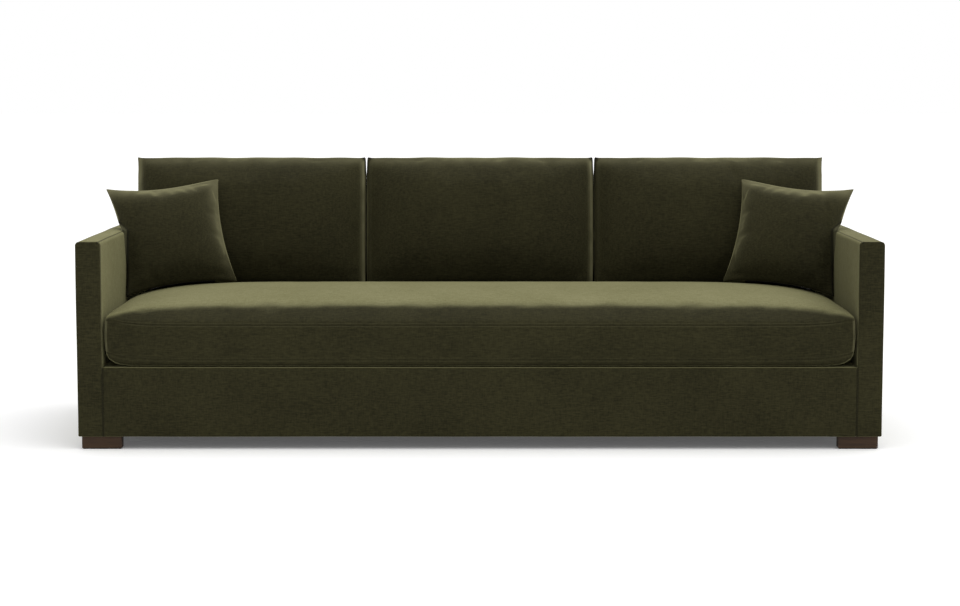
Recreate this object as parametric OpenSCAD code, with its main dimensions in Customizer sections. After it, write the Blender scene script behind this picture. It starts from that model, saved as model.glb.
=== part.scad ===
// Tuxedo sofa: slim track arms and a back of the same height, one bench seat cushion,
// three loose back cushions, two throw pillows and low block feet.
// X runs across, Y from front to back, Z up. The origin is on the floor, under the
// middle of the sofa. All lengths are millimetres.

/* [Overall] */
// Width over both arms
sofa_w = 2438; // [1900:1:3000]
// Depth from the arm fronts to the outside back
sofa_d = 965; // [860:1:1160]
// Height of the arms and of the back above the floor
arm_h = 632; // [560:1:760]
// Height of the deck that the seat cushion lies on
deck_h = 250; // [220:1:300]
// Lean of the inside back from upright, in degrees
lean = 8.5; // [4:0.5:11]

/* [Arms and back] */
// Width of one arm
arm_w = 76; // [70:1:130]
// Radius of an arm's long top edges
arm_round = 10; // [6:1:14]
// Thickness of the back at its top
back_top_t = 80; // [70:1:130]
// Depth of the arm posts from front to back
post_d = 45; // [30:1:60]
// Height of the arm's top rail
arm_rail_h = 45; // [30:1:60]
// Thickness of the board inside each arm
arm_board_t = 3; // [2:0.5:6]
// Height of the back's top rail
back_rail_h = 45; // [30:1:60]

/* [Seat frame] */
// Thickness of the frame boards
board_t = 28; // [22:1:35]
// Height of the stretchers under the springs
stretcher_h = 60; // [40:1:80]
// Bays between the stretchers
bays = 4; // [3:1:6]
// Leg of a corner block's triangle
block_leg = 60; // [40:1:90]
// Height of a corner block
block_h = 110; // [60:1:150]

/* [Springs and webbing] */
// Wire diameter of the zigzag springs
wire_d = 3.6; // [3:0.1:4.2]
// Width of a zigzag spring
spring_w = 50; // [40:1:60]
// Springs in each bay
bay_springs = 4; // [3:1:5]
// Runs of wire across one spring
spring_runs = 20; // [16:2:26]
// Sheet thickness of a spring clip
clip_t = 1; // [0.8:0.1:1.5]
// Width of a spring clip
clip_w = 16; // [12:1:22]
// Free play above a clip
clip_play = 0.4; // [0.2:0.1:1]
// Diameter of the tie wires across the springs
tie_d = 3; // [2:0.5:4]
// Thickness of the back webbing
web_t = 2; // [1:0.5:3]
// Free play on each side of the webbing
web_play = 0.1; // [0.1:0.05:0.4]
// Width of a webbing strap
web_w = 50; // [40:1:70]
// Straps across the back
web_count = 4; // [3:1:5]

/* [Upholstery] */
// Thickness of the cover fabric with its backing
cover_t = 2; // [1.5:0.5:3]
// Thickness of the padding on arms, rails and back
pad_t = 8; // [5:1:12]
// Thickness of the deck foam
deck_foam_t = 16; // [10:1:25]
// Thickness of the felt over the springs
insulator_t = 2; // [1:0.5:4]
// Depth of the padded front edge
edge_d = 80; // [60:1:120]
// Thickness of the dust cover
dust_t = 1; // [0.5:0.5:2]
// Margin of the dust cover inside the outline
dust_margin = 12; // [8:1:30]

/* [Feet] */
// Height of a foot with its felt pad
foot_h = 38; // [30:1:90]
// Width of a foot
foot_w = 120; // [90:1:160]
// Depth of a foot from front to back
foot_d = 38; // [34:1:60]
// Inset of the front feet from the outline
foot_inset = 10; // [6:1:16]
// Inset of the back feet from the outside back
foot_back_inset = 5; // [3:1:12]
// Thickness of a felt pad
felt_t = 3; // [2:0.5:5]
// Margin of a felt pad inside its foot
felt_margin = 3; // [2:0.5:8]

/* [Fasteners] */
// Diameter of a foot screw's shank
screw_d = 5; // [4:0.5:6]
// Diameter of a foot screw's head
screw_head_d = 10; // [8:0.5:12]
// Height of a foot screw's head
screw_head_h = 3; // [2:0.5:4]
// Depth of the counterbore above the felt
bore_depth = 12; // [6:1:18]
// Length of a foot screw in the frame
screw_bite = 36; // [20:1:60]
// Distance between the two screws of a foot
screw_pitch = 84; // [60:1:110]
// Distance of a corner foot's screws from its middle, towards the outline
screw_off = 5; // [0:1:7]
// Diameter of a frame bolt
bolt_d = 8; // [6:1:10]
// Diameter of a frame bolt's round head
bolt_head_d = 20; // [16:1:24]
// Height of a frame bolt's head
bolt_head_h = 4; // [3:0.5:6]
// Width across the flats of a nut
nut_w = 13; // [10:1:17]
// Height of a nut
nut_h = 6.5; // [5:0.5:8]
// Radial play of screws and bolts in their holes
hole_play = 0.3; // [0.2:0.1:0.5]

/* [Seat cushion] */
// Gap between the seat cushion and each arm
seat_gap = 5; // [4:1:15]
// Height of the cushion's lower seam above the deck
seat_under = 24; // [18:1:40]
// Height of the boxing between the seams
seat_boxing = 105; // [80:1:140]
// Crown of the top panel over its seam
seat_crown = 85; // [50:1:110]
// Lift of the cushion's four corners
seat_lift = 23; // [10:1:30]
// Bulge of the boxing
seat_bulge = 6; // [3:1:12]
// Gap between the seat cushion and the inside back
seat_back_gap = 10; // [6:1:20]

/* [Back cushions] */
// Number of back cushions
back_count = 3; // [3:1:3]
// Top of the back cushions above the floor
back_top_h = 857; // [780:1:950]
// Depth by which the back cushions settle on the seat cushion
back_sink = 1.4; // [0.6:0.1:6]
// Half thickness in front of the seam
back_front_t = 108; // [90:1:116]
// Half thickness behind the seam
back_rear_t = 102; // [90:1:110]
// Draw of the sides between the corners
back_draw = 6; // [2:1:12]

/* [Throw pillows] */
// Side of a pillow, corner to corner
pillow_w = 366; // [330:1:400]
// Half thickness of a pillow
pillow_t = 76; // [60:1:84]
// Draw of a pillow's sides between the corners
pillow_draw = 20; // [10:1:26]
// Depth by which the arm presses a pillow's corner
pillow_press = 72; // [20:1:80]
// Depth of a pillow's lowest corner under the crown of the seat cushion
pillow_sink = 43.8; // [30:0.1:60]
// Gap between a pillow and the back cushion that it leans on
pillow_gap = 1.1; // [0.5:0.1:4]
// Turn of a pillow towards the middle, in degrees
pillow_yaw = 14; // [8:0.5:18]
// Lean of a pillow from upright, in degrees
pillow_lean = 22; // [18:0.5:24]
// Roll of a pillow in its own plane, in degrees
pillow_roll = 6.5; // [4:0.5:8]

/* [Hidden] */

// One overrun serves every cut
over = 5;
// Gap between soft pieces that rest on each other
rest_gap = 0.5;

// Main planes
y_front = -sofa_d / 2;
y_back = sofa_d / 2;
y_panel = y_back - cover_t;
inner_w = sofa_w - 2 * arm_w;
inner_x = inner_w / 2;
skin = cover_t + pad_t;
shell_z = foot_h + dust_t;
frame_z = shell_z + cover_t;
spring_room = wire_d + 2 * clip_t + clip_play;
rail_top = deck_h - cover_t - deck_foam_t - insulator_t - spring_room;
spring_top = rail_top + spring_room;
y_rail_front = y_front + skin;
y_rail_back = y_rail_front + board_t;
bay_w = inner_w / bays;
lean_run = tan(lean);

// Front face of the inside back at height z, moved back by off
function back_face_y(z, off = 0) = y_back - back_top_t - (arm_h - z) * lean_run + off;

y_spring_rail = back_face_y(deck_h, skin);
web_skin = skin + web_t + 2 * web_play;

// Foot and screw places
foot_x = sofa_w / 2 - foot_inset - foot_w / 2;
foot_y_front = y_front + foot_inset + foot_d / 2;
foot_y_back = y_back - foot_back_inset - foot_d / 2;
middle_x = -inner_x + floor(bays / 2) * bay_w;
// Middle of each foot, its turn, and where its screws lie off its middle
foot_places = [
    [-foot_x, foot_y_front, 0, -screw_off], [foot_x, foot_y_front, 0, -screw_off],
    [-foot_x, foot_y_back, 0, screw_off], [foot_x, foot_y_back, 0, screw_off],
    [middle_x, 0, 90, 0]
];
screw_z = felt_t + bore_depth;
bolt_z = (shell_z + rail_top) / 2;
bolt_y_shares = [-0.3, 0.26];

// Points on an arc, from angle a0 to a1 in steps
function arc(centre, r, a0, a1, steps) =
    [for (i = [0 : steps]) let (a = a0 + (a1 - a0) * i / steps)
        [centre[0] + r * cos(a), centre[1] + r * sin(a)]];

// A closed outline in the plane of Y and Z, drawn out along X
module across(x0, x1, outline)
    translate([x0, 0, 0])
        rotate([90, 0, 90])
            linear_extrude(x1 - x0) polygon(outline);

// A closed outline in the plane of X and Z, drawn out along Y
module along(y0, y1, outline)
    translate([0, y1, 0])
        rotate([90, 0, 0])
            linear_extrude(y1 - y0) polygon(outline);

module block(low, high)
    translate(low)
        cube([high[0] - low[0], high[1] - low[1], high[2] - low[2]]);

module flipped(on)
    mirror([on ? 1 : 0, 0, 0])
        children();

module at_foot(place)
    translate([place[0], place[1], 0])
        rotate([0, 0, place[2]])
            children();

// Shafts of the foot screws, to cut or to fill
module screw_shafts(r, z0, z1)
    for (p = foot_places, side = [-1, 1])
        at_foot(p)
            translate([side * screw_pitch / 2, p[3], z0])
                cylinder(h = z1 - z0, r = r, $fn = 32);

module screw_holes()
    screw_shafts(screw_d / 2, foot_h - over, frame_z + screw_bite);

// Shafts of the bolts that join one arm to the seat frame
module bolt_shafts(r, x0, x1)
    for (share = bolt_y_shares)
        translate([x0, share * sofa_d, bolt_z])
            rotate([0, 90, 0])
                cylinder(h = x1 - x0, r = r, $fn = 32);

module bolt_holes()
    bolt_shafts(bolt_d / 2 + hole_play, -sofa_w / 2 + skin, -inner_x + board_t + over);

// Seat frame
module front_rail() color("burlywood")
    difference() {
        block([-inner_x, y_rail_front, frame_z], [inner_x, y_rail_back, rail_top]);
        screw_holes();
    }

module back_rail() color("burlywood")
    difference() {
        block([-inner_x, y_panel - board_t, shell_z], [inner_x, y_panel, rail_top]);
        screw_holes();
    }

module side_rails() color("burlywood")
    for (right = [false, true])
        flipped(right)
            difference() {
                block([-inner_x, y_rail_back, shell_z], [-inner_x + board_t, y_panel - board_t, rail_top]);
                bolt_holes();
            }

module spring_rail_room(end_x)
    block([-end_x, y_spring_rail, shell_z + stretcher_h],
          [end_x, y_spring_rail + board_t, rail_top]);

module spring_rail() color("burlywood")
    spring_rail_room(inner_x - board_t);

module seat_stretchers() color("burlywood")
    difference() {
        for (i = [1 : bays - 1])
            translate([-inner_x + i * bay_w, 0, 0])
                block([-board_t / 2, y_rail_back, shell_z],
                      [board_t / 2, y_panel - board_t, shell_z + stretcher_h]);
        screw_holes();
    }

// A long block is notched where the spring rail passes it
module corner_blocks() color("burlywood")
    difference() {
        for (right = [false, true], back = [false, true])
            flipped(right)
                translate([-inner_x + board_t, back ? y_panel - board_t : y_rail_back, shell_z])
                    mirror([0, back ? 1 : 0, 0])
                        linear_extrude(block_h)
                            polygon([[0, 0], [block_leg, 0], [0, block_leg]]);
        spring_rail_room(inner_x);
    }

// Arm outline with rounded top corners, drawn in by inset, its foot at z0
function arm_outline(inset, z0) = let (
        x0 = -sofa_w / 2 + inset, x1 = -inner_x - inset, z1 = arm_h - inset,
        r = max(arm_round - inset, cover_t))
    concat([[x0, z0], [x1, z0]],
           arc([x1 - r, z1 - r], r, 0, 90, 6),
           arc([x0 + r, z1 - r], r, 90, 180, 6));

arm_x0 = -sofa_w / 2 + skin;
arm_x1 = -inner_x - skin;
arm_post_x1 = arm_x1 - arm_board_t;
arm_top_z = arm_h - skin;
arm_y0 = y_front + skin;
arm_y1 = y_panel - cover_t;

module arm_posts() color("burlywood")
    difference() {
        for (y = [arm_y0, arm_y1 - post_d])
            block([arm_x0, y, frame_z], [arm_post_x1, y + post_d, arm_top_z]);
        screw_holes();
    }

module arm_rails() color("burlywood")
    difference() {
        union() {
            block([arm_x0, arm_y0 + post_d, arm_top_z - arm_rail_h],
                  [arm_post_x1, arm_y1 - post_d, arm_top_z]);
            block([arm_x0, arm_y0 + post_d, frame_z],
                  [arm_post_x1, arm_y1 - post_d, rail_top]);
        }
        bolt_holes();
        bolt_shafts(bolt_head_d / 2 + hole_play, arm_x0 - over, arm_x0 + bolt_head_h);
    }

module arm_board() color("tan")
    difference() {
        block([arm_post_x1, arm_y0, frame_z], [arm_x1, arm_y1, arm_top_z]);
        bolt_holes();
    }

module arm_padding() color("ivory")
    difference() {
        along(y_front + cover_t, arm_y1, arm_outline(cover_t, frame_z));
        along(y_front + skin, arm_y1 + over,
              [[arm_x0, frame_z - over], [arm_x1, frame_z - over],
               [arm_x1, arm_top_z], [arm_x0, arm_top_z]]);
        bolt_holes();
    }

module arm_cover() color("darkolivegreen")
    difference() {
        along(y_front, y_panel, arm_outline(0, shell_z));
        along(y_front + cover_t, arm_y1, arm_outline(cover_t, frame_z));
        screw_holes();
        bolt_holes();
    }

// Back frame and its layers, each a band that leans with the inside back
module raked_band(off0, off1, z0, z1, x0, x1)
    across(x0, x1, [
        [back_face_y(z0, off0), z0], [back_face_y(z0, off1), z0],
        [back_face_y(z1, off1), z1], [back_face_y(z1, off0), z1]]);

back_frame_top = arm_h - skin;
upright_top = back_frame_top - back_rail_h;

module back_uprights() color("burlywood")
    for (i = [0 : bays])
        let (mid = -inner_x + i * bay_w,
             x0 = min(max(mid - board_t / 2, -inner_x), inner_x - board_t))
        across(x0, x0 + board_t, [
            [back_face_y(rail_top, web_skin), rail_top], [y_panel, rail_top],
            [y_panel, upright_top], [back_face_y(upright_top, web_skin), upright_top]]);

module back_top_rail() color("burlywood")
    across(-inner_x, inner_x, [
        [back_face_y(upright_top, web_skin), upright_top], [y_panel, upright_top],
        [y_panel, back_frame_top], [back_face_y(back_frame_top, web_skin), back_frame_top]]);

module back_webbing() color("saddlebrown")
    for (i = [1 : web_count])
        let (z = spring_top + (upright_top - spring_top) * i / (web_count + 1))
        raked_band(skin + web_play, web_skin - web_play, z - web_w / 2, z + web_w / 2,
                   -inner_x, inner_x);

module back_padding() color("ivory")
    across(-inner_x, inner_x, [
        [back_face_y(spring_top, cover_t), spring_top],
        [back_face_y(spring_top, skin), spring_top],
        [back_face_y(back_frame_top, skin), back_frame_top],
        [y_panel, back_frame_top], [y_panel, arm_h - cover_t],
        [back_face_y(arm_h - cover_t, cover_t), arm_h - cover_t]]);

module inside_back_cover() color("darkolivegreen")
    across(-inner_x, inner_x, [
        [back_face_y(spring_top), spring_top],
        [back_face_y(spring_top, cover_t), spring_top],
        [back_face_y(arm_h - cover_t, cover_t), arm_h - cover_t],
        [y_panel, arm_h - cover_t], [y_panel, arm_h],
        [back_face_y(arm_h), arm_h]]);

module outside_back_panel() color("darkolivegreen")
    block([-sofa_w / 2, y_panel, shell_z], [sofa_w / 2, y_back, arm_h]);

// Springs: one flat zigzag of round turns, from the front rail to the spring rail
spring_y0 = y_rail_front + board_t / 2;
spring_y1 = y_spring_rail + board_t / 2;
run_gap = (spring_y1 - spring_y0) / (spring_runs - 1);
turn_r = run_gap / 2;
turn_steps = 3;

// One side of the wire, off from its middle line. An even number of runs ends on the left
function spring_side(off) = let (end = spring_w / 2 - turn_r)
    concat([[-spring_w / 2, spring_y0 + off]],
           [for (i = [0 : spring_runs - 2], p = let (y = spring_y0 + (i + 0.5) * run_gap)
                 i % 2 == 0 ? arc([end, y], turn_r - off, -90, 90, turn_steps)
                            : arc([-end, y], turn_r + off, 270, 90, turn_steps)) p],
           [[-spring_w / 2, spring_y1 - off]]);

module seat_springs() color("silver")
    for (bay = [0 : bays - 1], n = [0 : bay_springs - 1])
        translate([-inner_x + (bay + (n + 0.5) / bay_springs) * bay_w, 0, rail_top + clip_t])
            linear_extrude(wire_d)
                polygon(concat(spring_side(wire_d / 2), reversed(spring_side(-wire_d / 2))));

function reversed(list) = [for (i = [len(list) - 1 : -1 : 0]) list[i]];

// A clip folds over the first or last run of a spring
module spring_clips() color("gray")
    for (bay = [0 : bays - 1], n = [0 : bay_springs - 1], back = [false, true])
        let (x = -inner_x + (bay + (n + 0.5) / bay_springs) * bay_w,
             y = back ? spring_y1 : spring_y0, reach = wire_d / 2 + clip_play,
             top = wire_d + clip_play)
        translate([0, y, rail_top])
            mirror([0, back ? 1 : 0, 0])
                across(x - clip_w / 2, x + clip_w / 2, [
                    [-reach - clip_t, 0], [reach + 2 * clip_t, 0], [reach + 2 * clip_t, clip_t],
                    [-reach, clip_t], [-reach, clip_t + top - clip_play / 2],
                    [reach, clip_t + top - clip_play / 2],
                    [reach, 2 * clip_t + top - clip_play / 2],
                    [-reach - clip_t, 2 * clip_t + top - clip_play / 2]]);

module spring_tie_wires() color("silver")
    for (share = [1 / 3, 2 / 3])
        translate([-inner_x + board_t, spring_y0 + (spring_y1 - spring_y0) * share,
                   rail_top + clip_t - tie_d / 2])
            rotate([0, 90, 0])
                cylinder(h = inner_w - 2 * board_t, r = tie_d / 2, $fn = 24);

// Deck layers
deck_rear_y = back_face_y(spring_top) - rest_gap;
edge_y = y_front + edge_d;

module spring_insulator() color("dimgray")
    block([-inner_x, y_rail_front, spring_top], [inner_x, deck_rear_y, spring_top + insulator_t]);

module deck_foam() color("ivory")
    block([-inner_x, edge_y, spring_top + insulator_t], [inner_x, deck_rear_y, deck_h - cover_t]);

module deck_cover() color("darkolivegreen")
    block([-inner_x, edge_y, deck_h - cover_t], [inner_x, deck_rear_y, deck_h]);

// The padded front edge runs down the front rail and over its top
module front_edge_padding() color("ivory")
    across(-inner_x, inner_x, [
        [y_front + cover_t, frame_z], [y_rail_front, frame_z],
        [y_rail_front, spring_top + insulator_t], [edge_y, spring_top + insulator_t],
        [edge_y, deck_h - cover_t], [y_front + cover_t, deck_h - cover_t]]);

module front_rail_cover() color("darkolivegreen")
    difference() {
        across(-inner_x, inner_x, [
            [y_front, shell_z], [y_rail_back, shell_z], [y_rail_back, frame_z],
            [y_front + cover_t, frame_z], [y_front + cover_t, deck_h - cover_t],
            [edge_y, deck_h - cover_t], [edge_y, deck_h], [y_front, deck_h]]);
        screw_holes();
    }

module dust_cover() color("black")
    difference() {
        block([-sofa_w / 2 + dust_margin, y_front + dust_margin, foot_h],
              [sofa_w / 2 - dust_margin, y_back - dust_margin, shell_z]);
        screw_holes();
    }

// Feet, their felts and fasteners
module foot(place) color("saddlebrown")
    difference() {
        at_foot(place)
            block([-foot_w / 2, -foot_d / 2, felt_t], [foot_w / 2, foot_d / 2, foot_h]);
        screw_shafts(screw_d / 2 + hole_play, felt_t - over, foot_h + over);
        screw_shafts(screw_head_d / 2 + hole_play, felt_t - over, screw_z);
    }

module foot_felts() color("black")
    for (p = foot_places)
        at_foot(p)
            block([-foot_w / 2 + felt_margin, -foot_d / 2 + felt_margin, 0],
                  [foot_w / 2 - felt_margin, foot_d / 2 - felt_margin, felt_t]);

module foot_screws() color("silver") {
    screw_shafts(screw_d / 2, screw_z - screw_head_h / 2, frame_z + screw_bite);
    screw_shafts(screw_head_d / 2, screw_z - screw_head_h, screw_z);
}

module frame_bolts() color("silver")
    for (right = [false, true])
        flipped(right) {
            bolt_shafts(bolt_d / 2, arm_x0, -inner_x + board_t + nut_h + bolt_d / 2);
            bolt_shafts(bolt_head_d / 2, arm_x0, arm_x0 + bolt_head_h);
            for (share = bolt_y_shares)
                translate([-inner_x + board_t, share * sofa_d, bolt_z])
                    rotate([0, 90, 0])
                        cylinder(h = nut_h, r = nut_w / 2 / cos(30), $fn = 6);
        }

// Soft forms. A unit grid is crowded towards its ends, where the forms turn
function spread(i, n) = sin(90 * (2 * i / n - 1));
function dome(s, power) = sqrt(max(0, 1 - pow(abs(s), power)));

// The two triangles of a grid's cell, cut so that no corner of the sheet is cut off
function cell_cut(i, j, ni, nj) = (2 * i < ni) == (2 * j < nj)
    ? [[0, 2, 1], [0, 3, 2]] : [[0, 3, 1], [1, 3, 2]];

// Seat cushion, over u across and v from front to back, each from -1 to 1
seat_half_w = inner_x - seat_gap - seat_bulge;
seat_y0 = y_front + seat_bulge;
seat_y1 = back_face_y(deck_h) - seat_back_gap - seat_bulge;
seat_half_d = (seat_y1 - seat_y0) / 2;
seat_mid_y = (seat_y0 + seat_y1) / 2;
seat_low = deck_h + rest_gap;
seat_seam_low = deck_h + seat_under;
seat_seam_top = seat_seam_low + seat_boxing;
seat_nx = 26;
seat_ny = 14;
seat_rows = 4;
// How squarely the crown, the underside and the corners turn at the seams
crown_power_u = 8;
crown_power_v = 2.5;
under_power_u = 40;
under_power_v = 16;
lift_power = 20;
corner_power = 12;
corner_in_share = 0.004;

function seat_raise(u) = seat_lift * pow(min(1, abs(u)), lift_power);
function seat_top_z(u, v) = seat_seam_top + seat_raise(u)
    + (seat_crown - seat_raise(u)) * dome(u, crown_power_u) * dome(v, crown_power_v);
function seat_low_z(u, v) = let (seam = seat_seam_low + seat_raise(u))
    seam - (seam - seat_low) * dome(u, under_power_u) * dome(v, under_power_v);
// Height of the seat cushion's top under a point of the sofa
function seat_z_at(x, y) = seat_top_z(x / seat_half_w, (y - seat_mid_y) / seat_half_d);

// Plan of the seams, its corners drawn in a little, and grown by out
function seat_xy(u, v, out) = let (k = 1 - corner_in_share * pow(abs(u * v), corner_power),
        edge_u = abs(u) == 1 ? sign(u) : 0, edge_v = abs(v) == 1 ? sign(v) : 0)
    [seat_half_w * u * k + out * edge_u, seat_mid_y + seat_half_d * v * k + out * edge_v];

// The border of the grid, counter-clockwise, as a list of [i, j]
function seat_border() = concat(
    [for (i = [0 : seat_nx - 1]) [i, 0]], [for (j = [0 : seat_ny - 1]) [seat_nx, j]],
    [for (i = [seat_nx : -1 : 1]) [i, seat_ny]], [for (j = [seat_ny : -1 : 1]) [0, j]]);

module seat_form() {
    border = seat_border();
    laps = len(border);
    sheet = (seat_nx + 1) * (seat_ny + 1);
    function at(i, j) = i * (seat_ny + 1) + j;
    function band(row, k) = let (b = border[k % laps])
        row == 0 ? sheet + at(b[0], b[1])
        : row == seat_rows ? at(b[0], b[1])
        : 2 * sheet + (row - 1) * laps + k % laps;
    top = [for (i = [0 : seat_nx], j = [0 : seat_ny])
        let (u = spread(i, seat_nx), v = spread(j, seat_ny), p = seat_xy(u, v, 0))
        [p[0], p[1], seat_top_z(u, v)]];
    low = [for (i = [0 : seat_nx], j = [0 : seat_ny])
        let (u = spread(i, seat_nx), v = spread(j, seat_ny), p = seat_xy(u, v, 0))
        [p[0], p[1], seat_low_z(u, v)]];
    sides = [for (row = [1 : seat_rows - 1], b = border)
        let (u = spread(b[0], seat_nx), v = spread(b[1], seat_ny), s = row / seat_rows,
             p = seat_xy(u, v, seat_bulge * sin(180 * s)))
        [p[0], p[1], (1 - s) * seat_low_z(u, v) + s * seat_top_z(u, v)]];
    cells = [for (i = [0 : seat_nx - 1], j = [0 : seat_ny - 1])
        let (q = [at(i, j), at(i + 1, j), at(i + 1, j + 1), at(i, j + 1)])
        for (f = cell_cut(i, j, seat_nx, seat_ny)) [q[f[0]], q[f[1]], q[f[2]]]];
    polyhedron(
        points = concat(top, low, sides),
        faces = concat(
            cells,
            [for (f = cells) [f[0] + sheet, f[2] + sheet, f[1] + sheet]],
            [for (row = [0 : seat_rows - 1], k = [0 : laps - 1],
                  f = [[band(row, k), band(row + 1, k), band(row + 1, k + 1)],
                       [band(row, k), band(row + 1, k + 1), band(row, k + 1)]]) f]));
}

// A knife-edge form from two grids of points that share their border
module knife_form(nx, nz, front, rear) {
    function at(i, j) = i * (nz + 1) + j;
    function inner(i, j) = i == 0 || j == 0 || i == nx || j == nz
        ? at(i, j) : (nx + 1) * (nz + 1) + (i - 1) * (nz - 1) + j - 1;
    polyhedron(
        points = concat(
            [for (i = [0 : nx], j = [0 : nz]) front[i][j]],
            [for (i = [1 : nx - 1], j = [1 : nz - 1]) rear[i][j]]),
        faces = [for (i = [0 : nx - 1], j = [0 : nz - 1])
            let (q = [at(i, j), at(i + 1, j), at(i + 1, j + 1), at(i, j + 1)],
                 r = [inner(i, j), inner(i + 1, j), inner(i + 1, j + 1), inner(i, j + 1)])
            for (f = cell_cut(i, j, nx, nz))
                for (face = [[q[f[0]], q[f[1]], q[f[2]]], [r[f[0]], r[f[2]], r[f[1]]]]) face]);
}

// Back cushions, in a frame that leans with the inside back and stands at height b
back_pitch = inner_w / back_count;
back_half_w = back_pitch / 2 - rest_gap / 2;
back_nx = 20;
back_nz = 14;
back_power_front = 2.4;
back_power_rear = 5;
function back_half_at(b) = (back_top_h - b) / cos(lean) / 2;
// Perpendicular from the inside back's face to the seam's plane. The rear rests on the
// face where it is fullest, or on the top of the back if that is lower
function back_off_at(b) = rest_gap + back_rear_t
    * dome(min(0, (arm_h - b) / cos(lean) / back_half_at(b) - 1), back_power_rear);
function back_y_at(b) = back_face_y(b) - back_off_at(b) / cos(lean);

// A point of the leaning frame, x across, t forward of the seam's plane, h up the cushion
function leant_at(b, x, t, h) = [x, back_y_at(b) - t * cos(lean) + h * sin(lean),
    b + t * sin(lean) + h * cos(lean)];

// How far a side is drawn in along the cushion, most just short of its corners
ear_start = 6;
ear_end = 40;
function ear(s) = pow(abs(s), ear_start) - pow(abs(s), ear_end);

// A point of a back cushion's front, before the seat cushion presses it
function back_free(b, mid_x, u, v) = leant_at(b, mid_x + u * (back_half_w - back_draw * ear(v)),
    back_front_t * dome(u, back_power_front) * dome(v, back_power_front),
    back_half_at(b) * (1 + v));
// Least height of that front over the seat cushion
function back_clear(b, mid_x) = min([for (i = [0 : back_nx], j = [0 : back_nz])
    let (p = back_free(b, mid_x, spread(i, back_nx), spread(j, back_nz)))
    if (p[1] < seat_y1) p[2] - seat_z_at(p[0], p[1])]);
// The height at which each cushion settles on the seat cushion, found in rounds
settle_rounds = 8;
function settled(b, rounds) = rounds == 0 ? b
    : settled(b - back_sink - max(back_clear(b, 0), back_clear(b, back_pitch)), rounds - 1);
back_base_h = settled(seat_seam_top + seat_crown / 2, settle_rounds);
back_half_h = back_half_at(back_base_h);
back_base_y = back_y_at(back_base_h);
function leant(x, t, h) = leant_at(back_base_h, x, t, h);

function back_point(mid_x, u, v, t) =
    let (half_w = back_half_w - back_draw * ear(v),
         p = leant(mid_x + u * half_w, t, back_half_h * (1 + v)))
    [p[0], p[1], max(p[2], seat_z_at(p[0], min(p[1], seat_y1)) + rest_gap)];

// One face of a back cushion, t thick at its middle, forward of the seam where t is positive
function back_face(mid_x, t, power) = [for (i = [0 : back_nx]) [for (j = [0 : back_nz])
    let (u = spread(i, back_nx), v = spread(j, back_nz))
    back_point(mid_x, u, v, t * dome(u, power) * dome(v, power))]];

module back_form(mid_x)
    knife_form(back_nx, back_nz, back_face(mid_x, back_front_t, back_power_front),
               back_face(mid_x, -back_rear_t, back_power_rear));

// A lens outline of half width a and half thickness b, flat at its two ends
lens_sides = 16;
function lens(a, b) = [for (i = [0 : lens_sides - 1])
    let (t = 360 * (i + 0.5) / lens_sides) [a * cos(t), b * sin(t)]];
lens_end_share = cos(180 / lens_sides);

// A stuffed filling: two lens prisms crossed
module filling_form(half_w, half_h, half_t)
    intersection() {
        translate([0, 0, -half_h])
            linear_extrude(2 * half_h) polygon(lens(half_w, half_t));
        rotate([90, 0, 90])
            translate([0, 0, -half_w])
                linear_extrude(2 * half_w) polygon([for (p = lens(half_h, half_t)) [p[1], p[0]]]);
    }

filling_share = 0.84;
filling_t_share = 0.72;
// The zipper with its tapes, in the cover's wall between the filling and the outside
zip_share = 0.6;
zip_t = 12;

// From the flat end of a filling, or reach above it, down through the seam
module zip_room(half_w, low_end, seam, reach)
    block([-half_w, -zip_t / 2, -seam - over], [half_w, zip_t / 2, reach - low_end]);

module back_filling_form(mid_x)
    translate(leant(mid_x, 0, back_half_h))
        rotate([-lean, 0, 0])
            filling_form(filling_share * back_half_w, filling_share * back_half_h,
                         filling_t_share * back_rear_t);

module back_zip_room(mid_x, reach = 0)
    translate(leant(mid_x, 0, back_half_h))
        rotate([-lean, 0, 0])
            zip_room(zip_share * back_half_w, filling_share * back_half_h * lens_end_share,
                     back_half_h, reach);

module back_cushion_cover(mid_x) color("darkolivegreen")
    difference() {
        back_form(mid_x);
        back_filling_form(mid_x);
        back_zip_room(mid_x, over);
    }

module back_cushion_filling(mid_x) color("ivory")
    back_filling_form(mid_x);

module back_cushion_zipper(mid_x) color("black")
    intersection() {
        back_form(mid_x);
        back_zip_room(mid_x);
    }

// Seat cushion pieces: the core lies inside the seams, a little way up into the crown
core_margin = 42;
core_under = 12;
core_crown_share = 0.25;

module seat_core_room()
    block([-seat_half_w + core_margin, seat_y0 + core_margin, seat_low + core_under],
          [seat_half_w - core_margin, seat_y1 - core_margin,
           seat_seam_top + core_crown_share * seat_crown]);

module seat_zip_room(y1, reach = 0)
    block([-zip_share * seat_half_w, seat_y1 - core_margin - reach,
           (seat_seam_low + seat_seam_top - zip_t) / 2],
          [zip_share * seat_half_w, y1, (seat_seam_low + seat_seam_top + zip_t) / 2]);

module seat_cushion_cover() color("darkolivegreen")
    difference() {
        seat_form();
        seat_core_room();
        seat_zip_room(seat_y1 + 2 * seat_bulge, over);
    }

module seat_cushion_foam() color("ivory")
    seat_core_room();

module seat_cushion_zipper() color("black")
    seat_zip_room(seat_y1 + seat_bulge / 2);

// Throw pillows: the left one, pressed by the arm, the seat and the back cushion
pillow_n = 16;
pillow_power = 2.2;
// Height over the arm's top up to which its inner face holds the pillow, and where it is free
press_top = 24;
press_free = 84;

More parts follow.
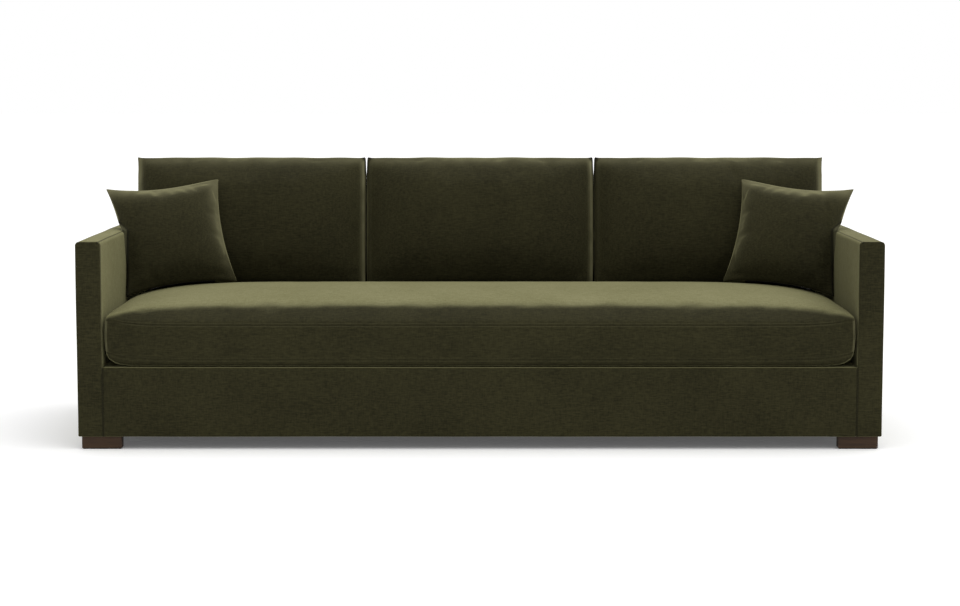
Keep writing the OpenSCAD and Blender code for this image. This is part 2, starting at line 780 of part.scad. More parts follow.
// A point of the pillow's own frame, turned as the pillow lies
function turned(p) = let (
        r = [p[0] * cos(pillow_roll) - p[2] * sin(pillow_roll), p[1],
             p[0] * sin(pillow_roll) + p[2] * cos(pillow_roll)],
        l = [r[0], r[1] * cos(pillow_lean) + r[2] * sin(pillow_lean),
             r[2] * cos(pillow_lean) - r[1] * sin(pillow_lean)])
    [l[0] * cos(pillow_yaw) - l[1] * sin(pillow_yaw),
     l[0] * sin(pillow_yaw) + l[1] * cos(pillow_yaw), l[2]];

// A point of its front or rear, before it is pressed
function pillow_free(u, v, t) = let (half = pillow_w / 2)
    turned([u * (half - pillow_draw * (1 - v * v)),
            t * dome(u, pillow_power) * dome(v, pillow_power),
            v * (half - pillow_draw * (1 - u * u))]);

// Room between a point and the front of the left back cushion
function back_room(p) = let (
        y = p[1] - back_base_y, z = p[2] - back_base_h,
        u = min(1, abs(p[0] + back_pitch) / back_half_w),
        v = min(1, abs((y * sin(lean) + z * cos(lean)) / back_half_h - 1)))
    z * sin(lean) - y * cos(lean)
    - back_front_t * dome(u, back_power_front) * dome(v, back_power_front);

// The pillow lies against the arm, the seat cushion and the back cushion
pillow_steps = [for (i = [0 : pillow_n]) spread(i, pillow_n)];
pillow_rear = [for (u = pillow_steps, v = pillow_steps) pillow_free(u, v, pillow_t)];
pillow_x = -inner_x - pillow_press - min([for (p = pillow_rear) p[0]]);
pillow_z = seat_seam_top + seat_crown - pillow_sink - min([for (p = pillow_rear) p[2]]);
function pillow_room(y) = min([for (p = pillow_rear) back_room(p + [pillow_x, y, pillow_z])]);
function leaning(y, rounds) = rounds == 0 ? y
    : leaning(y + (pillow_room(y) - pillow_gap) / cos(lean), rounds - 1);
pillow_y = leaning(0, settle_rounds);
pillow_centre = [pillow_x, pillow_y, pillow_z];

// The arm's inner face and top hold a point back
function arm_limit(z) = -inner_x + rest_gap
    - max(0, z - arm_h - press_top) * arm_w / (press_free - press_top);
function pressed(p) = let (x = max(p[0], arm_limit(p[2]), -sofa_w / 2))
    [x, p[1], max(p[2], seat_z_at(max(x, -seat_half_w), p[1]) + rest_gap)];

function pillow_face(t) = [for (u = pillow_steps) [for (v = pillow_steps)
    pressed(pillow_centre + pillow_free(u, v, t))]];

module pillow_form()
    knife_form(pillow_n, pillow_n, pillow_face(-pillow_t), pillow_face(pillow_t));

module pillow_placed()
    translate(pillow_centre)
        rotate([0, 0, pillow_yaw])
            rotate([-pillow_lean, 0, 0])
                rotate([0, -pillow_roll, 0])
                    children();

insert_share = 0.72;

// Where the arm leaves room for the insert and the cover around it
module insert_room() let (x = -inner_x + rest_gap + cover_t, press_z = arm_h + press_top)
    along(pillow_y - pillow_w, pillow_y + pillow_w, [
        [x, seat_low], [pillow_x + pillow_w, seat_low],
        [pillow_x + pillow_w, pillow_z + pillow_w], [x - arm_w, pillow_z + pillow_w],
        [x - arm_w, arm_h + press_free], [x, press_z]]);

module pillow_insert_form()
    intersection() {
        pillow_placed()
            filling_form(insert_share * pillow_w / 2, insert_share * pillow_w / 2,
                         filling_t_share * pillow_t);
        insert_room();
    }

module pillow_zip_room(reach = 0)
    pillow_placed()
        zip_room(zip_share * pillow_w / 2, insert_share * pillow_w / 2 * lens_end_share,
                 pillow_w / 2, reach);

module pillow_cover() color("darkolivegreen")
    difference() {
        pillow_form();
        pillow_insert_form();
        pillow_zip_room(over);
    }

module pillow_insert() color("ivory")
    pillow_insert_form();

module pillow_zipper() color("black")
    intersection() {
        pillow_form();
        pillow_zip_room();
    }

front_rail();
back_rail();
side_rails();
spring_rail();
seat_stretchers();
corner_blocks();
arm_posts();  // left_arm_posts
arm_rails();  // left_arm_rails
arm_board();  // left_arm_board
arm_padding();  // left_arm_padding
arm_cover();  // left_arm_cover
flipped(true) arm_posts();  // right_arm_posts
flipped(true) arm_rails();  // right_arm_rails
flipped(true) arm_board();  // right_arm_board
flipped(true) arm_padding();  // right_arm_padding
flipped(true) arm_cover();  // right_arm_cover
back_uprights();
back_top_rail();
back_webbing();
back_padding();
inside_back_cover();
outside_back_panel();
seat_springs();
spring_clips();
spring_tie_wires();
spring_insulator();
deck_foam();
deck_cover();
front_edge_padding();
front_rail_cover();
dust_cover();
foot(foot_places[0]);  // front_left_foot
foot(foot_places[1]);  // front_right_foot
foot(foot_places[2]);  // back_left_foot
foot(foot_places[3]);  // back_right_foot
foot(foot_places[4]);  // centre_foot
foot_felts();
foot_screws();
frame_bolts();
seat_cushion_cover();
seat_cushion_foam();
seat_cushion_zipper();
back_cushion_cover(-back_pitch);  // left_back_cushion_cover
back_cushion_filling(-back_pitch);  // left_back_cushion_filling
back_cushion_zipper(-back_pitch);  // left_back_cushion_zipper
back_cushion_cover(0);  // middle_back_cushion_cover
back_cushion_filling(0);  // middle_back_cushion_filling
back_cushion_zipper(0);  // middle_back_cushion_zipper
back_cushion_cover(back_pitch);  // right_back_cushion_cover
back_cushion_filling(back_pitch);  // right_back_cushion_filling
back_cushion_zipper(back_pitch);  // right_back_cushion_zipper
pillow_cover();  // left_pillow_cover
pillow_insert();  // left_pillow_insert
pillow_zipper();  // left_pillow_zipper
flipped(true) pillow_cover();  // right_pillow_cover
flipped(true) pillow_insert();  // right_pillow_insert
flipped(true) pillow_zipper();  // right_pillow_zipper
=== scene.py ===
import math

import bpy
import numpy as np
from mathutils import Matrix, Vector, kdtree, noise


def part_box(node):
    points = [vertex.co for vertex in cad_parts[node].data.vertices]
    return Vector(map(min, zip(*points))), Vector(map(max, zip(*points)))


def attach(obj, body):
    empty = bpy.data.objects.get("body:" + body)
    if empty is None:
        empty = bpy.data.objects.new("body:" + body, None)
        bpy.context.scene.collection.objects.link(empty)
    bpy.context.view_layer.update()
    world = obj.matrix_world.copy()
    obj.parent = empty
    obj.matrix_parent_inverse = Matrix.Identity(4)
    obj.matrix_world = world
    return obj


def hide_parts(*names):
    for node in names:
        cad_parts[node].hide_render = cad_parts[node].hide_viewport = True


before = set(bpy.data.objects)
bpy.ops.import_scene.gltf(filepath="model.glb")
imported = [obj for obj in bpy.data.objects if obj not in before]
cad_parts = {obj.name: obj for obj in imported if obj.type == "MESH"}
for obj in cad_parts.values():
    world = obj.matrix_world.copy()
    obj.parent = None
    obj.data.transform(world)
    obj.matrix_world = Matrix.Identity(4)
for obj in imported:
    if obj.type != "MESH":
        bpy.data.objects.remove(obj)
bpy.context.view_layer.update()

# Lengths are metres. These sizes are the construction's own, where a node's box doesn't give them
MM = 0.001
LEAN = math.radians(8.5)
BACK_TOP_T = 80 * MM
REST_GAP = 0.5 * MM
SEAT_UNDER = 24 * MM
SEAT_CROWN = 85 * MM
SEAT_LIFT = 23 * MM
SEAT_BULGE = 6 * MM
BACK_OVER = 48 * MM
BACK_FRONT_T = 108 * MM
BACK_REAR_T = 102 * MM
BACK_DRAW = 6 * MM
PILLOW_W = 366 * MM
PILLOW_T = 76 * MM
PILLOW_DRAW = 20 * MM
PILLOW_IN = 139 * MM
PILLOW_OVER = 144 * MM
PILLOW_NESTLE = 7 * MM
PILLOW_YAW = math.radians(14)
PILLOW_LEAN = math.radians(22)
PILLOW_ROLL = math.radians(6.5)

# Places that the frame gives
arm_low, arm_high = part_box("left_arm_cover")
seat_low, seat_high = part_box("seat_cushion_cover")
deck_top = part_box("deck_cover")[1].z
panel_low, panel_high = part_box("outside_back_panel")
inner_x = -arm_high.x


# Colours are linear. Each material is one function, built on a small helper for node trees
class Graph:
    """A material's nodes around one Principled shader."""

    def __init__(self, name):
        self.material = bpy.data.materials.new(name)
        self.material.use_nodes = True
        self.tree = self.material.node_tree
        self.tree.nodes.clear()
        self.shader = self.add("ShaderNodeBsdfPrincipled")
        output = self.add("ShaderNodeOutputMaterial")
        self.tree.links.new(self.shader.outputs["BSDF"], output.inputs["Surface"])
        self.coords = self.add("ShaderNodeTexCoord").outputs["Object"]

    def add(self, kind, inputs=None, **settings):
        node = self.tree.nodes.new(kind)
        for key, value in settings.items():
            setattr(node, key, value)
        for key, value in (inputs or {}).items():
            self.put(node, key, value)
        return node

    def put(self, node, key, value):
        if isinstance(value, bpy.types.NodeSocket):
            self.tree.links.new(value, node.inputs[key])
        else:
            node.inputs[key].default_value = value

    def noise(self, scale, detail=2.0, rough=0.5, stretch=(1, 1, 1)):
        """Noise from 0 to 1 with scale cells to a metre, fewer along a stretched axis."""
        at = self.add("ShaderNodeMapping", {"Vector": self.coords, "Scale": stretch})
        return self.add("ShaderNodeTexNoise", {
            "Vector": at.outputs["Vector"], "Scale": scale, "Detail": detail,
            "Roughness": rough}).outputs["Fac"]

    def math(self, operation, a, b=0.0):
        return self.add("ShaderNodeMath", {0: a, 1: b}, operation=operation).outputs["Value"]

    def blend(self, share, low, high):
        """A colour that goes from low to high as share goes from 0 to 1."""
        node = self.add("ShaderNodeMix", {0: share, 6: low, 7: high}, data_type="RGBA")
        return node.outputs[2]

    def spread(self, value, low, high):
        """value, from low to high, stretched to 0 to 1."""
        return self.add("ShaderNodeMapRange", {
            "Value": value, "From Min": low, "From Max": high}).outputs["Result"]

    def bump(self, height, depth):
        """Roughens the shader's normal by height times depth in metres."""
        node = self.add("ShaderNodeBump", {"Height": height, "Distance": depth, "Strength": 1.0})
        self.put(self.shader, "Normal", node.outputs["Normal"])

    def uneven(self, value, rough):
        """A roughness that varies a little with value."""
        return self.add("ShaderNodeMapRange", {
            "Value": value, "To Min": rough - 0.08, "To Max": rough + 0.1}).outputs["Result"]

    def finish(self, inputs):
        for key, value in inputs.items():
            self.put(self.shader, key, value)
        return self.material


def opaque(colour):
    return (*colour, 1.0)


def velvet():
    """Short olive pile, with painted sheen: dark where it faces the eye, pale at a glance. A
    mesh's seam marks darken it below 0 with painted shade, as along a stitch line or in a slit,
    and make it pale above 0 with a painted highlight, as on a rounded edge or a roll."""
    g = Graph("velvet")
    slubs = g.noise(42, detail=2, rough=0.6, stretch=(1, 8, 8))
    threads = g.noise(42, detail=2, rough=0.6, stretch=(8, 1, 1))
    mottle = g.noise(130, detail=3, rough=0.65)
    broad = g.noise(5, detail=1)
    shade = g.math("ADD", g.math("MULTIPLY", slubs, 0.42), g.math("MULTIPLY", mottle, 0.22))
    shade = g.math("ADD", shade, g.math("MULTIPLY", threads, 0.20))
    shade = g.math("ADD", shade, g.math("MULTIPLY", broad, 0.16))
    pile = g.noise(1100, detail=1)
    height = g.math("ADD", g.math("MULTIPLY", pile, 0.35), g.math("MULTIPLY", slubs, 0.5))
    g.bump(height, 0.4 * MM)
    share = g.spread(shade, 0.40, 0.60)
    facing = g.blend(share, opaque((0.0140, 0.0128, 0.0040)), opaque((0.0330, 0.0301, 0.0112)))
    glancing = g.blend(share, opaque((0.152, 0.145, 0.064)), opaque((0.224, 0.214, 0.109)))
    # Painted sheen: the base colour turns pale as the surface turns away from the eye
    turn = g.add("ShaderNodeLayerWeight", {"Blend": 0.5}).outputs["Facing"]
    sheen = g.add("ShaderNodeMapRange", {"Value": turn, "From Min": 0.42, "From Max": 0.72},
                  interpolation_type="SMOOTHSTEP").outputs["Result"]
    # Painted highlight above 0 and painted shade below 0, from each mesh's seam marks
    seam = g.add("ShaderNodeAttribute", attribute_name="seam").outputs["Fac"]
    colour = g.blend(seam, g.blend(sheen, facing, glancing), opaque((0.170, 0.160, 0.086)))
    colour = g.blend(g.math("MULTIPLY", seam, -1.0), colour, opaque((0.0060, 0.0055, 0.0025)))
    return g.finish({
        "Base Color": colour,
        "Roughness": 0.9, "Specular IOR Level": 0.15, "Sheen Weight": 0.12,
        "Sheen Roughness": 0.35, "Sheen Tint": opaque((0.62, 0.58, 0.30))})


def wood(name, dark, light, rough, gloss=0.5):
    """Straight-grained timber, its grain along x."""
    g = Graph(name)
    stretch = (1.0, 14.0, 14.0)
    grain = g.noise(9, detail=6, rough=0.62, stretch=stretch)
    pores = g.noise(60, detail=2, stretch=stretch)
    shade = g.math("ADD", g.math("MULTIPLY", grain, 0.75), g.math("MULTIPLY", pores, 0.25))
    g.bump(shade, 0.25 * MM)
    return g.finish({
        "Base Color": g.blend(g.spread(shade, 0.35, 0.65), opaque(dark), opaque(light)),
        "Specular IOR Level": gloss, "Roughness": g.uneven(pores, rough)})


def cloth(name, dark, light, scale):
    """Plain woven or felted stuff, with threads both ways."""
    g = Graph(name)
    one = g.noise(scale, detail=2, stretch=(1, 0.12, 1))
    two = g.noise(scale, detail=2, stretch=(0.12, 1, 1))
    weave = g.math("MULTIPLY", g.math("ADD", one, two), 0.5)
    g.bump(weave, 0.4 * MM)
    return g.finish({
        "Base Color": g.blend(g.spread(weave, 0.38, 0.62), opaque(dark), opaque(light)),
        "Roughness": 0.95, "Specular IOR Level": 0.2})


def steel(name, colour, rough):
    """Brushed steel."""
    g = Graph(name)
    brushed = g.noise(700, detail=2, stretch=(0.05, 1, 1))
    g.bump(brushed, 0.05 * MM)
    return g.finish({
        "Base Color": g.blend(brushed, opaque([c * 0.85 for c in colour]), opaque(colour)),
        "Metallic": 1.0, "Roughness": g.uneven(brushed, rough)})


def foam(name, dark, light):
    """Open-celled foam."""
    g = Graph(name)
    cells = g.add("ShaderNodeTexVoronoi", {"Vector": g.coords, "Scale": 500}).outputs["Distance"]
    g.bump(cells, 0.6 * MM)
    return g.finish({
        "Base Color": g.blend(g.spread(cells, 0.1, 0.8), opaque(dark), opaque(light)),
        "Roughness": 0.95, "Specular IOR Level": 0.2})


MATERIALS = {
    "velvet": velvet(),
    "timber": wood("frame_timber", (0.42, 0.27, 0.13), (0.60, 0.43, 0.24), rough=0.6),
    "foot": wood("foot_timber", (0.019, 0.0085, 0.0028), (0.052, 0.025, 0.0095), rough=0.62,
                 gloss=0.3),
    "board": wood("fibre_board", (0.36, 0.26, 0.15), (0.44, 0.33, 0.20), rough=0.8),
    "steel": steel("spring_steel", (0.55, 0.56, 0.57), rough=0.32),
    "padding": foam("padding_foam", (0.62, 0.58, 0.42), (0.78, 0.74, 0.58)),
    "webbing": cloth("jute_webbing", (0.22, 0.13, 0.06), (0.42, 0.28, 0.15), scale=260),
    "dust": cloth("dust_cloth", (0.010, 0.010, 0.011), (0.026, 0.026, 0.028), scale=900),
    "felt": cloth("felt", (0.030, 0.028, 0.026), (0.060, 0.056, 0.052), scale=1400),
    "teeth": wood("zipper_teeth", (0.020, 0.019, 0.013), (0.034, 0.032, 0.022), rough=0.35),
    "zipper": cloth("zipper_tape", (0.010, 0.010, 0.008), (0.028, 0.027, 0.022), scale=1500),
}

NODE_MATERIALS = {
    "timber": ["front_rail", "back_rail", "side_rails", "spring_rail", "seat_stretchers",
               "corner_blocks", "left_arm_posts", "left_arm_rails", "right_arm_posts",
               "right_arm_rails", "back_uprights", "back_top_rail"],
    "board": ["left_arm_board", "right_arm_board"],
    "padding": ["left_arm_padding", "right_arm_padding", "back_padding", "deck_foam",
                "front_edge_padding"],
    "webbing": ["back_webbing"],
    "steel": ["seat_springs", "spring_clips", "spring_tie_wires", "foot_screws", "frame_bolts"],
    "felt": ["spring_insulator", "foot_felts"],
    "dust": ["dust_cover"],
    "foot": ["front_left_foot", "front_right_foot", "back_left_foot", "back_right_foot",
             "centre_foot"],
}


def dress_nodes():
    """Gives each construction node that stays its material."""
    for key, names in NODE_MATERIALS.items():
        for name in names:
            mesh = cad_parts[name].data
            mesh.materials.clear()
            mesh.materials.append(MATERIALS[key])


def ease_edges(node, width):
    """Rounds a hard node's edges with a small bevel."""
    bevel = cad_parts[node].modifiers.new("eased_edges", "BEVEL")
    bevel.width = width
    bevel.segments = 2
    bevel.limit_method = "ANGLE"


# Mesh building: grids of points, welded where they meet
def weld(points, faces):
    """Which points to keep, one for each place, which of these each point is, and the faces."""
    keys = np.round(points / 1e-6).astype(np.int64)
    first, inverse = np.unique(keys, axis=0, return_index=True, return_inverse=True)[1:]
    rows = []
    for face in inverse.reshape(-1)[faces]:
        row = [int(k) for n, k in enumerate(face) if k != face[n - 1]]
        if len(set(row)) == len(row) and len(row) > 2:
            rows.append(row)
    return first, inverse.reshape(-1), rows


def grid_faces(n, m, base=0, flip=False, closed=False):
    """Quads of a grid of n by m points, whose second way may close on itself."""
    i, j = np.meshgrid(np.arange(n - 1), np.arange(m if closed else m - 1), indexing="ij")
    k = (j + 1) % m
    quads = np.stack([i * m + j, (i + 1) * m + j, (i + 1) * m + k, i * m + k], -1)
    quads = quads.reshape(-1, 4) + base
    return quads[:, ::-1] if flip else quads


def new_object(name, data):
    obj = bpy.data.objects.new(name, data)
    bpy.context.scene.collection.objects.link(obj)
    return obj


def add_piece(name, points, faces, material, body, replaces=(), marks=None,
              smooth=True):
    """A mesh piece that rides on a body. marks are seam marks from -1 to 1, one for each point."""
    mesh = bpy.data.meshes.new(name)
    kept, _, rows = weld(points, faces)
    mesh.from_pydata(points[kept].tolist(), [], rows)
    mesh.validate()
    mesh.polygons.foreach_set("use_smooth", [smooth] * len(mesh.polygons))
    if marks is not None:
        mesh.attributes.new("seam", "FLOAT", "POINT").data.foreach_set("value", marks[kept])
    mesh.materials.append(material)
    obj = new_object(name, mesh)
    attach(obj, body)
    if replaces:
        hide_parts(*replaces)


def add_cover(name, points, faces, nodes, marks, body="sofa_frame"):
    """A padded velvet piece in place of construction nodes."""
    add_piece(name, points, faces, MATERIALS["velvet"], body, nodes, marks)


def mirrored(points):
    return points * np.array([-1.0, 1.0, 1.0])


def smooth_step(value, low, high):
    t = np.clip((value - low) / (high - low), 0, 1)
    return t * t * (3 - 2 * t)


def soft_max(a, b, ease):
    """The greater of two values, eased where they are close."""
    return b + ease * np.logaddexp(0, (a - b) / ease)


def rounded(a, b, half_a, half_b, r):
    """Places of a rectangle's plan, moved so that its four corners are rounded by r."""
    qa, qb = np.abs(a) - (half_a - r), np.abs(b) - (half_b - r)
    corner = (qa > 0) & (qb > 0)
    k = np.where(corner, np.maximum(qa, qb) / np.maximum(np.hypot(qa, qb), 1e-9), 1)
    return (np.where(corner, np.sign(a) * (half_a - r + qa * k), a),
            np.where(corner, np.sign(b) * (half_b - r + qb * k), b))


# Cloth: a coarse copy of a cushion's cover is blown up with its seams pinned, and the finished
# mesh takes over how far that moves each place
CLOTH_FRAMES = 20
CLOTH_SETTINGS = {
    "quality": 6, "mass": 0.3, "tension_stiffness": 15, "compression_stiffness": 15,
    "shear_stiffness": 5, "bending_stiffness": 0.3, "use_pressure": True,
    "uniform_pressure_force": 4.0}
CLOTH_EASE = 0.8 * MM
NEIGHBOURS = 8
PIN_NEAR, PIN_FAR = 9 * MM, 30 * MM


def coarse_copy(name, points, rows, voxel):
    """A new object of even quads round a closed mesh."""
    mesh = bpy.data.meshes.new(name)
    mesh.from_pydata(points.tolist(), [], rows)
    obj = new_object(name, mesh)
    remesh = obj.modifiers.new("even", "REMESH")
    remesh.mode = "VOXEL"
    remesh.voxel_size = voxel
    graph = bpy.context.evaluated_depsgraph_get()
    even = bpy.data.meshes.new_from_object(obj.evaluated_get(graph))
    obj.modifiers.clear()
    obj.data = even
    bpy.data.meshes.remove(mesh)
    return obj


def places_of(mesh):
    flat = np.zeros(len(mesh.vertices) * 3)
    mesh.vertices.foreach_get("co", flat)
    return flat.reshape(-1, 3)


def nearest(places, wanted, count):
    """For each wanted point, the nearest places and how far they are."""
    tree = kdtree.KDTree(len(places))
    for k, p in enumerate(places):
        tree.insert(p, k)
    tree.balance()
    found = [tree.find_n(p, count) for p in wanted]
    return (np.array([[f[1] for f in row] for row in found]),
            np.array([[f[2] for f in row] for row in found]))


def puffed(name, points, faces, distance, free, voxel, start_in, cap, slack):
    """A cover's points after a cloth simulation.

    distance is how far each point is from a seam and free how far it may move, from 0 where
    something presses it to 1. voxel is the size of the cloth's quads, cap the most that it may
    move and slack how much larger than the form it is cut. The simulated form starts start_in
    inside the given one and ends no further out than it, so it stays clear of its neighbours."""
    kept, inverse, rows = weld(points, faces)
    full, distance, free = points[kept], distance[kept], free[kept]
    mesh = bpy.data.meshes.new(name + "_form")
    mesh.from_pydata(full.tolist(), [], rows)
    normals = np.zeros(len(kept) * 3)
    mesh.vertices.foreach_get("normal", normals)
    normals = normals.reshape(-1, 3)
    bpy.data.meshes.remove(mesh)
    share = smooth_step(distance, 0, PIN_FAR) * free
    start = full - normals * (start_in * share)[:, None]
    obj = coarse_copy(name + "_cloth", start, rows, voxel)
    rest = places_of(obj.data)
    index = nearest(start, rest, 1)[0][:, 0]
    held = 1 - smooth_step(distance[index], PIN_NEAR, PIN_FAR) * free[index]
    pins = obj.vertex_groups.new(name="pins")
    for k, weight in enumerate(held):
        pins.add([k], float(weight), "REPLACE")
    cloth = obj.modifiers.new("cloth", "CLOTH")
    for key, value in CLOTH_SETTINGS.items():
        setattr(cloth.settings, key, value)
    cloth.settings.shrink_min = -slack
    cloth.settings.vertex_group_mass = "pins"
    cloth.settings.effector_weights.gravity = 0
    scene = bpy.context.scene
    for number in range(1, CLOTH_FRAMES + 1):
        scene.frame_set(number)
    graph = bpy.context.evaluated_depsgraph_get()
    moved = places_of(obj.evaluated_get(graph).data) - rest
    scene.frame_set(1)
    length = np.linalg.norm(moved, axis=1)
    moved *= (np.minimum(length, cap) / np.maximum(length, 1e-9))[:, None]
    near, away = nearest(rest, start, NEIGHBOURS)
    weights = np.exp(-(away / voxel) ** 2)
    move = (moved[near] * weights[..., None]).sum(1) / weights.sum(1)[:, None]
    out = ((move * normals).sum(1) - start_in) * share
    out = (-CLOTH_EASE * np.logaddexp(0, -out / CLOTH_EASE)
           + CLOTH_EASE * math.log(2) * (1 - share))
    bpy.data.objects.remove(obj)
    return (full + normals * np.minimum(out, 0)[:, None])[inverse]


# Sampling: rows lie close together beside a seam and wider towards the middle
SEAM_ROWS = np.array([0, 1.1, 2.2, 3.4, 4.8, 6.6, 9, 12.5, 17]) * MM
SEAM_DEPTH = 1.5 * MM
SEAM_WIDTH = 1.9 * MM


def seam_dip(distance, depth=SEAM_DEPTH):
    """How far a surface dips at a distance from a seam, with a slight swell beside it."""
    d = distance / SEAM_WIDTH
    return depth * (np.exp(-d * d) - 0.22 * np.exp(-((d - 2.4) ** 2)))


def rim_mark(distance):
    """Painted sheen on a knife edge's rim, with painted shade along its stitch line just inside.
    """
    return 0.75 * np.exp(-(distance / (1.6 * MM)) ** 2) - 0.25 * np.exp(
        -((distance - 4.6 * MM) / (1.5 * MM)) ** 2)


def seam_shade_mark(distance, width=1.6 * MM, swell=0.30):
    """Painted shade along a flat seam's line, with a painted highlight on the swell beside it."""
    d = distance / width
    return swell * np.exp(-((d - 2.4) ** 2)) - 0.9 * np.exp(-d * d)


def painted_falloff(distance, gain, width):
    """A painted mark that fades from gain over width: painted sheen where a cushion rolls over
    towards its edge, and painted shade at a slit's tip.
    """
    return gain * np.exp(-(np.clip(distance, 0, None) / width) ** 2)


def mottled(points, marks):
    """The painted sheen and shade marks made a little uneven, as brushed pile is."""
    return marks * np.array([1 + 0.45 * noise.noise(Vector(p) * 24) for p in points])


def gaps_for(length, step):
    """Places along a length, crowded at both ends."""
    half = length / 2
    near = SEAM_ROWS[SEAM_ROWS < half * 0.9]
    rest = np.linspace(near[-1], half, max(2, int(math.ceil((half - near[-1]) / step)) + 1))[1:]
    left = np.concatenate([near, rest])
    return np.concatenate([left, length - left[-2::-1]])


def by_arc(curve, step):
    """Values from -1 to 1 at which a curve's points lie as gaps_for says, and their arc places."""
    fine = -np.cos(np.linspace(0, math.pi, 4001))
    points = curve(fine)
    arc = np.concatenate([[0], np.cumsum(np.linalg.norm(np.diff(points, axis=0), axis=1))])
    places = gaps_for(arc[-1], step)
    values = np.interp(places, arc, fine)
    values[0], values[-1] = -1.0, 1.0
    return values, np.minimum(places, arc[-1] - places)


def dome(s, power):
    return np.sqrt(np.clip(1 - np.abs(s) ** power, 0, None))


def domed(half, thick, power, step):
    """What by_arc gives across a dome of half a width."""
    return by_arc(lambda s: np.stack([half * s, thick * dome(s, power)], -1), step)


# Seat cushion
SEAT_POWERS = {
    "crown_u": 8, "crown_v": 2.5, "fuller": 4, "under_u": 40, "under_v": 50, "lift": 20}
SEAT_TIP_DROP = 6 * MM
seat_half_w = seat_high.x - SEAT_BULGE
seat_y0 = seat_low.y + SEAT_BULGE
seat_y1 = seat_high.y - SEAT_BULGE
seat_mid_y = (seat_y0 + seat_y1) / 2
seat_half_d = (seat_y1 - seat_y0) / 2
seam_low = deck_top + SEAT_UNDER
seam_top = seat_high.z - SEAT_CROWN


def seat_raise(u):
    return SEAT_LIFT * np.minimum(1, np.abs(u)) ** SEAT_POWERS["lift"]


def seat_top_z(u, v):
    # The front is fuller towards its corners, and their very tips hang
    crown_v = SEAT_POWERS["crown_v"] + SEAT_POWERS["fuller"] * np.minimum(1, u * u) ** 6 * (v < 0)
    tip = SEAT_TIP_DROP * np.minimum(1, np.abs(u)) ** 60 * np.minimum(1, np.abs(v)) ** 20
    return seam_top + seat_raise(u) - tip + (SEAT_CROWN - seat_raise(u)) * (
        dome(u, SEAT_POWERS["crown_u"]) * dome(v, crown_v))


def seat_low_z(u, v):
    seam = seam_low + seat_raise(u)
    return seam - (seam - seat_low.z) * (
        dome(u, SEAT_POWERS["under_u"]) * dome(v, SEAT_POWERS["under_v"]))


def seat_z_at(x, y):
    """Height of the seat cushion's top under a point."""
    return seat_top_z(x / seat_half_w, (y - seat_mid_y) / seat_half_d)


SEAT_CORNER = 7 * MM
SEAT_SEAM_DEPTH = 0.9 * MM
# How pale the painted sheen on the boxing's corners is, and how dark the painted shade along the
# upper and lower seams is
SEAT_CORNER_SHEEN = 0.5
SEAT_TOP_SEAM, SEAT_LOW_SEAM = 0.34, 0.16
# Where the back cushions and the pillows cease to press the seat cushion
BACKS_EASE = 90 * MM
PILLOWS_REACH, PILLOWS_END = 0.62, 0.50
PILLOWS_FRONT, PILLOWS_REAR = -0.16, -0.06


def seat_xy(u, v, out):
    """A point of the plan at u and v, its corners rounded, moved outwards by out."""
    x, y = rounded(seat_half_w * u, seat_half_d * v, seat_half_w, seat_half_d, SEAT_CORNER)
    edge_u = np.sign(u) * (np.abs(u) == 1)
    edge_v = np.sign(v) * (np.abs(v) == 1)
    return x + out * edge_u, seat_mid_y + y + out * edge_v


def seat_free(x, y, z):
    """Where the seat cushion's cover may move: not under the back cushions and pillows."""
    back_y = back_base_y - BACK_FRONT_T
    forward = 1 - smooth_step(y, back_y - BACKS_EASE, back_y)
    beside = 1 - smooth_step(np.abs(x), seat_half_w - PILLOWS_REACH, seat_half_w - PILLOWS_END)
    open_side = np.maximum(beside, 1 - smooth_step(y, PILLOWS_FRONT, PILLOWS_REAR))
    return np.minimum(forward, open_side) * (z > seam_low + 4 * MM)


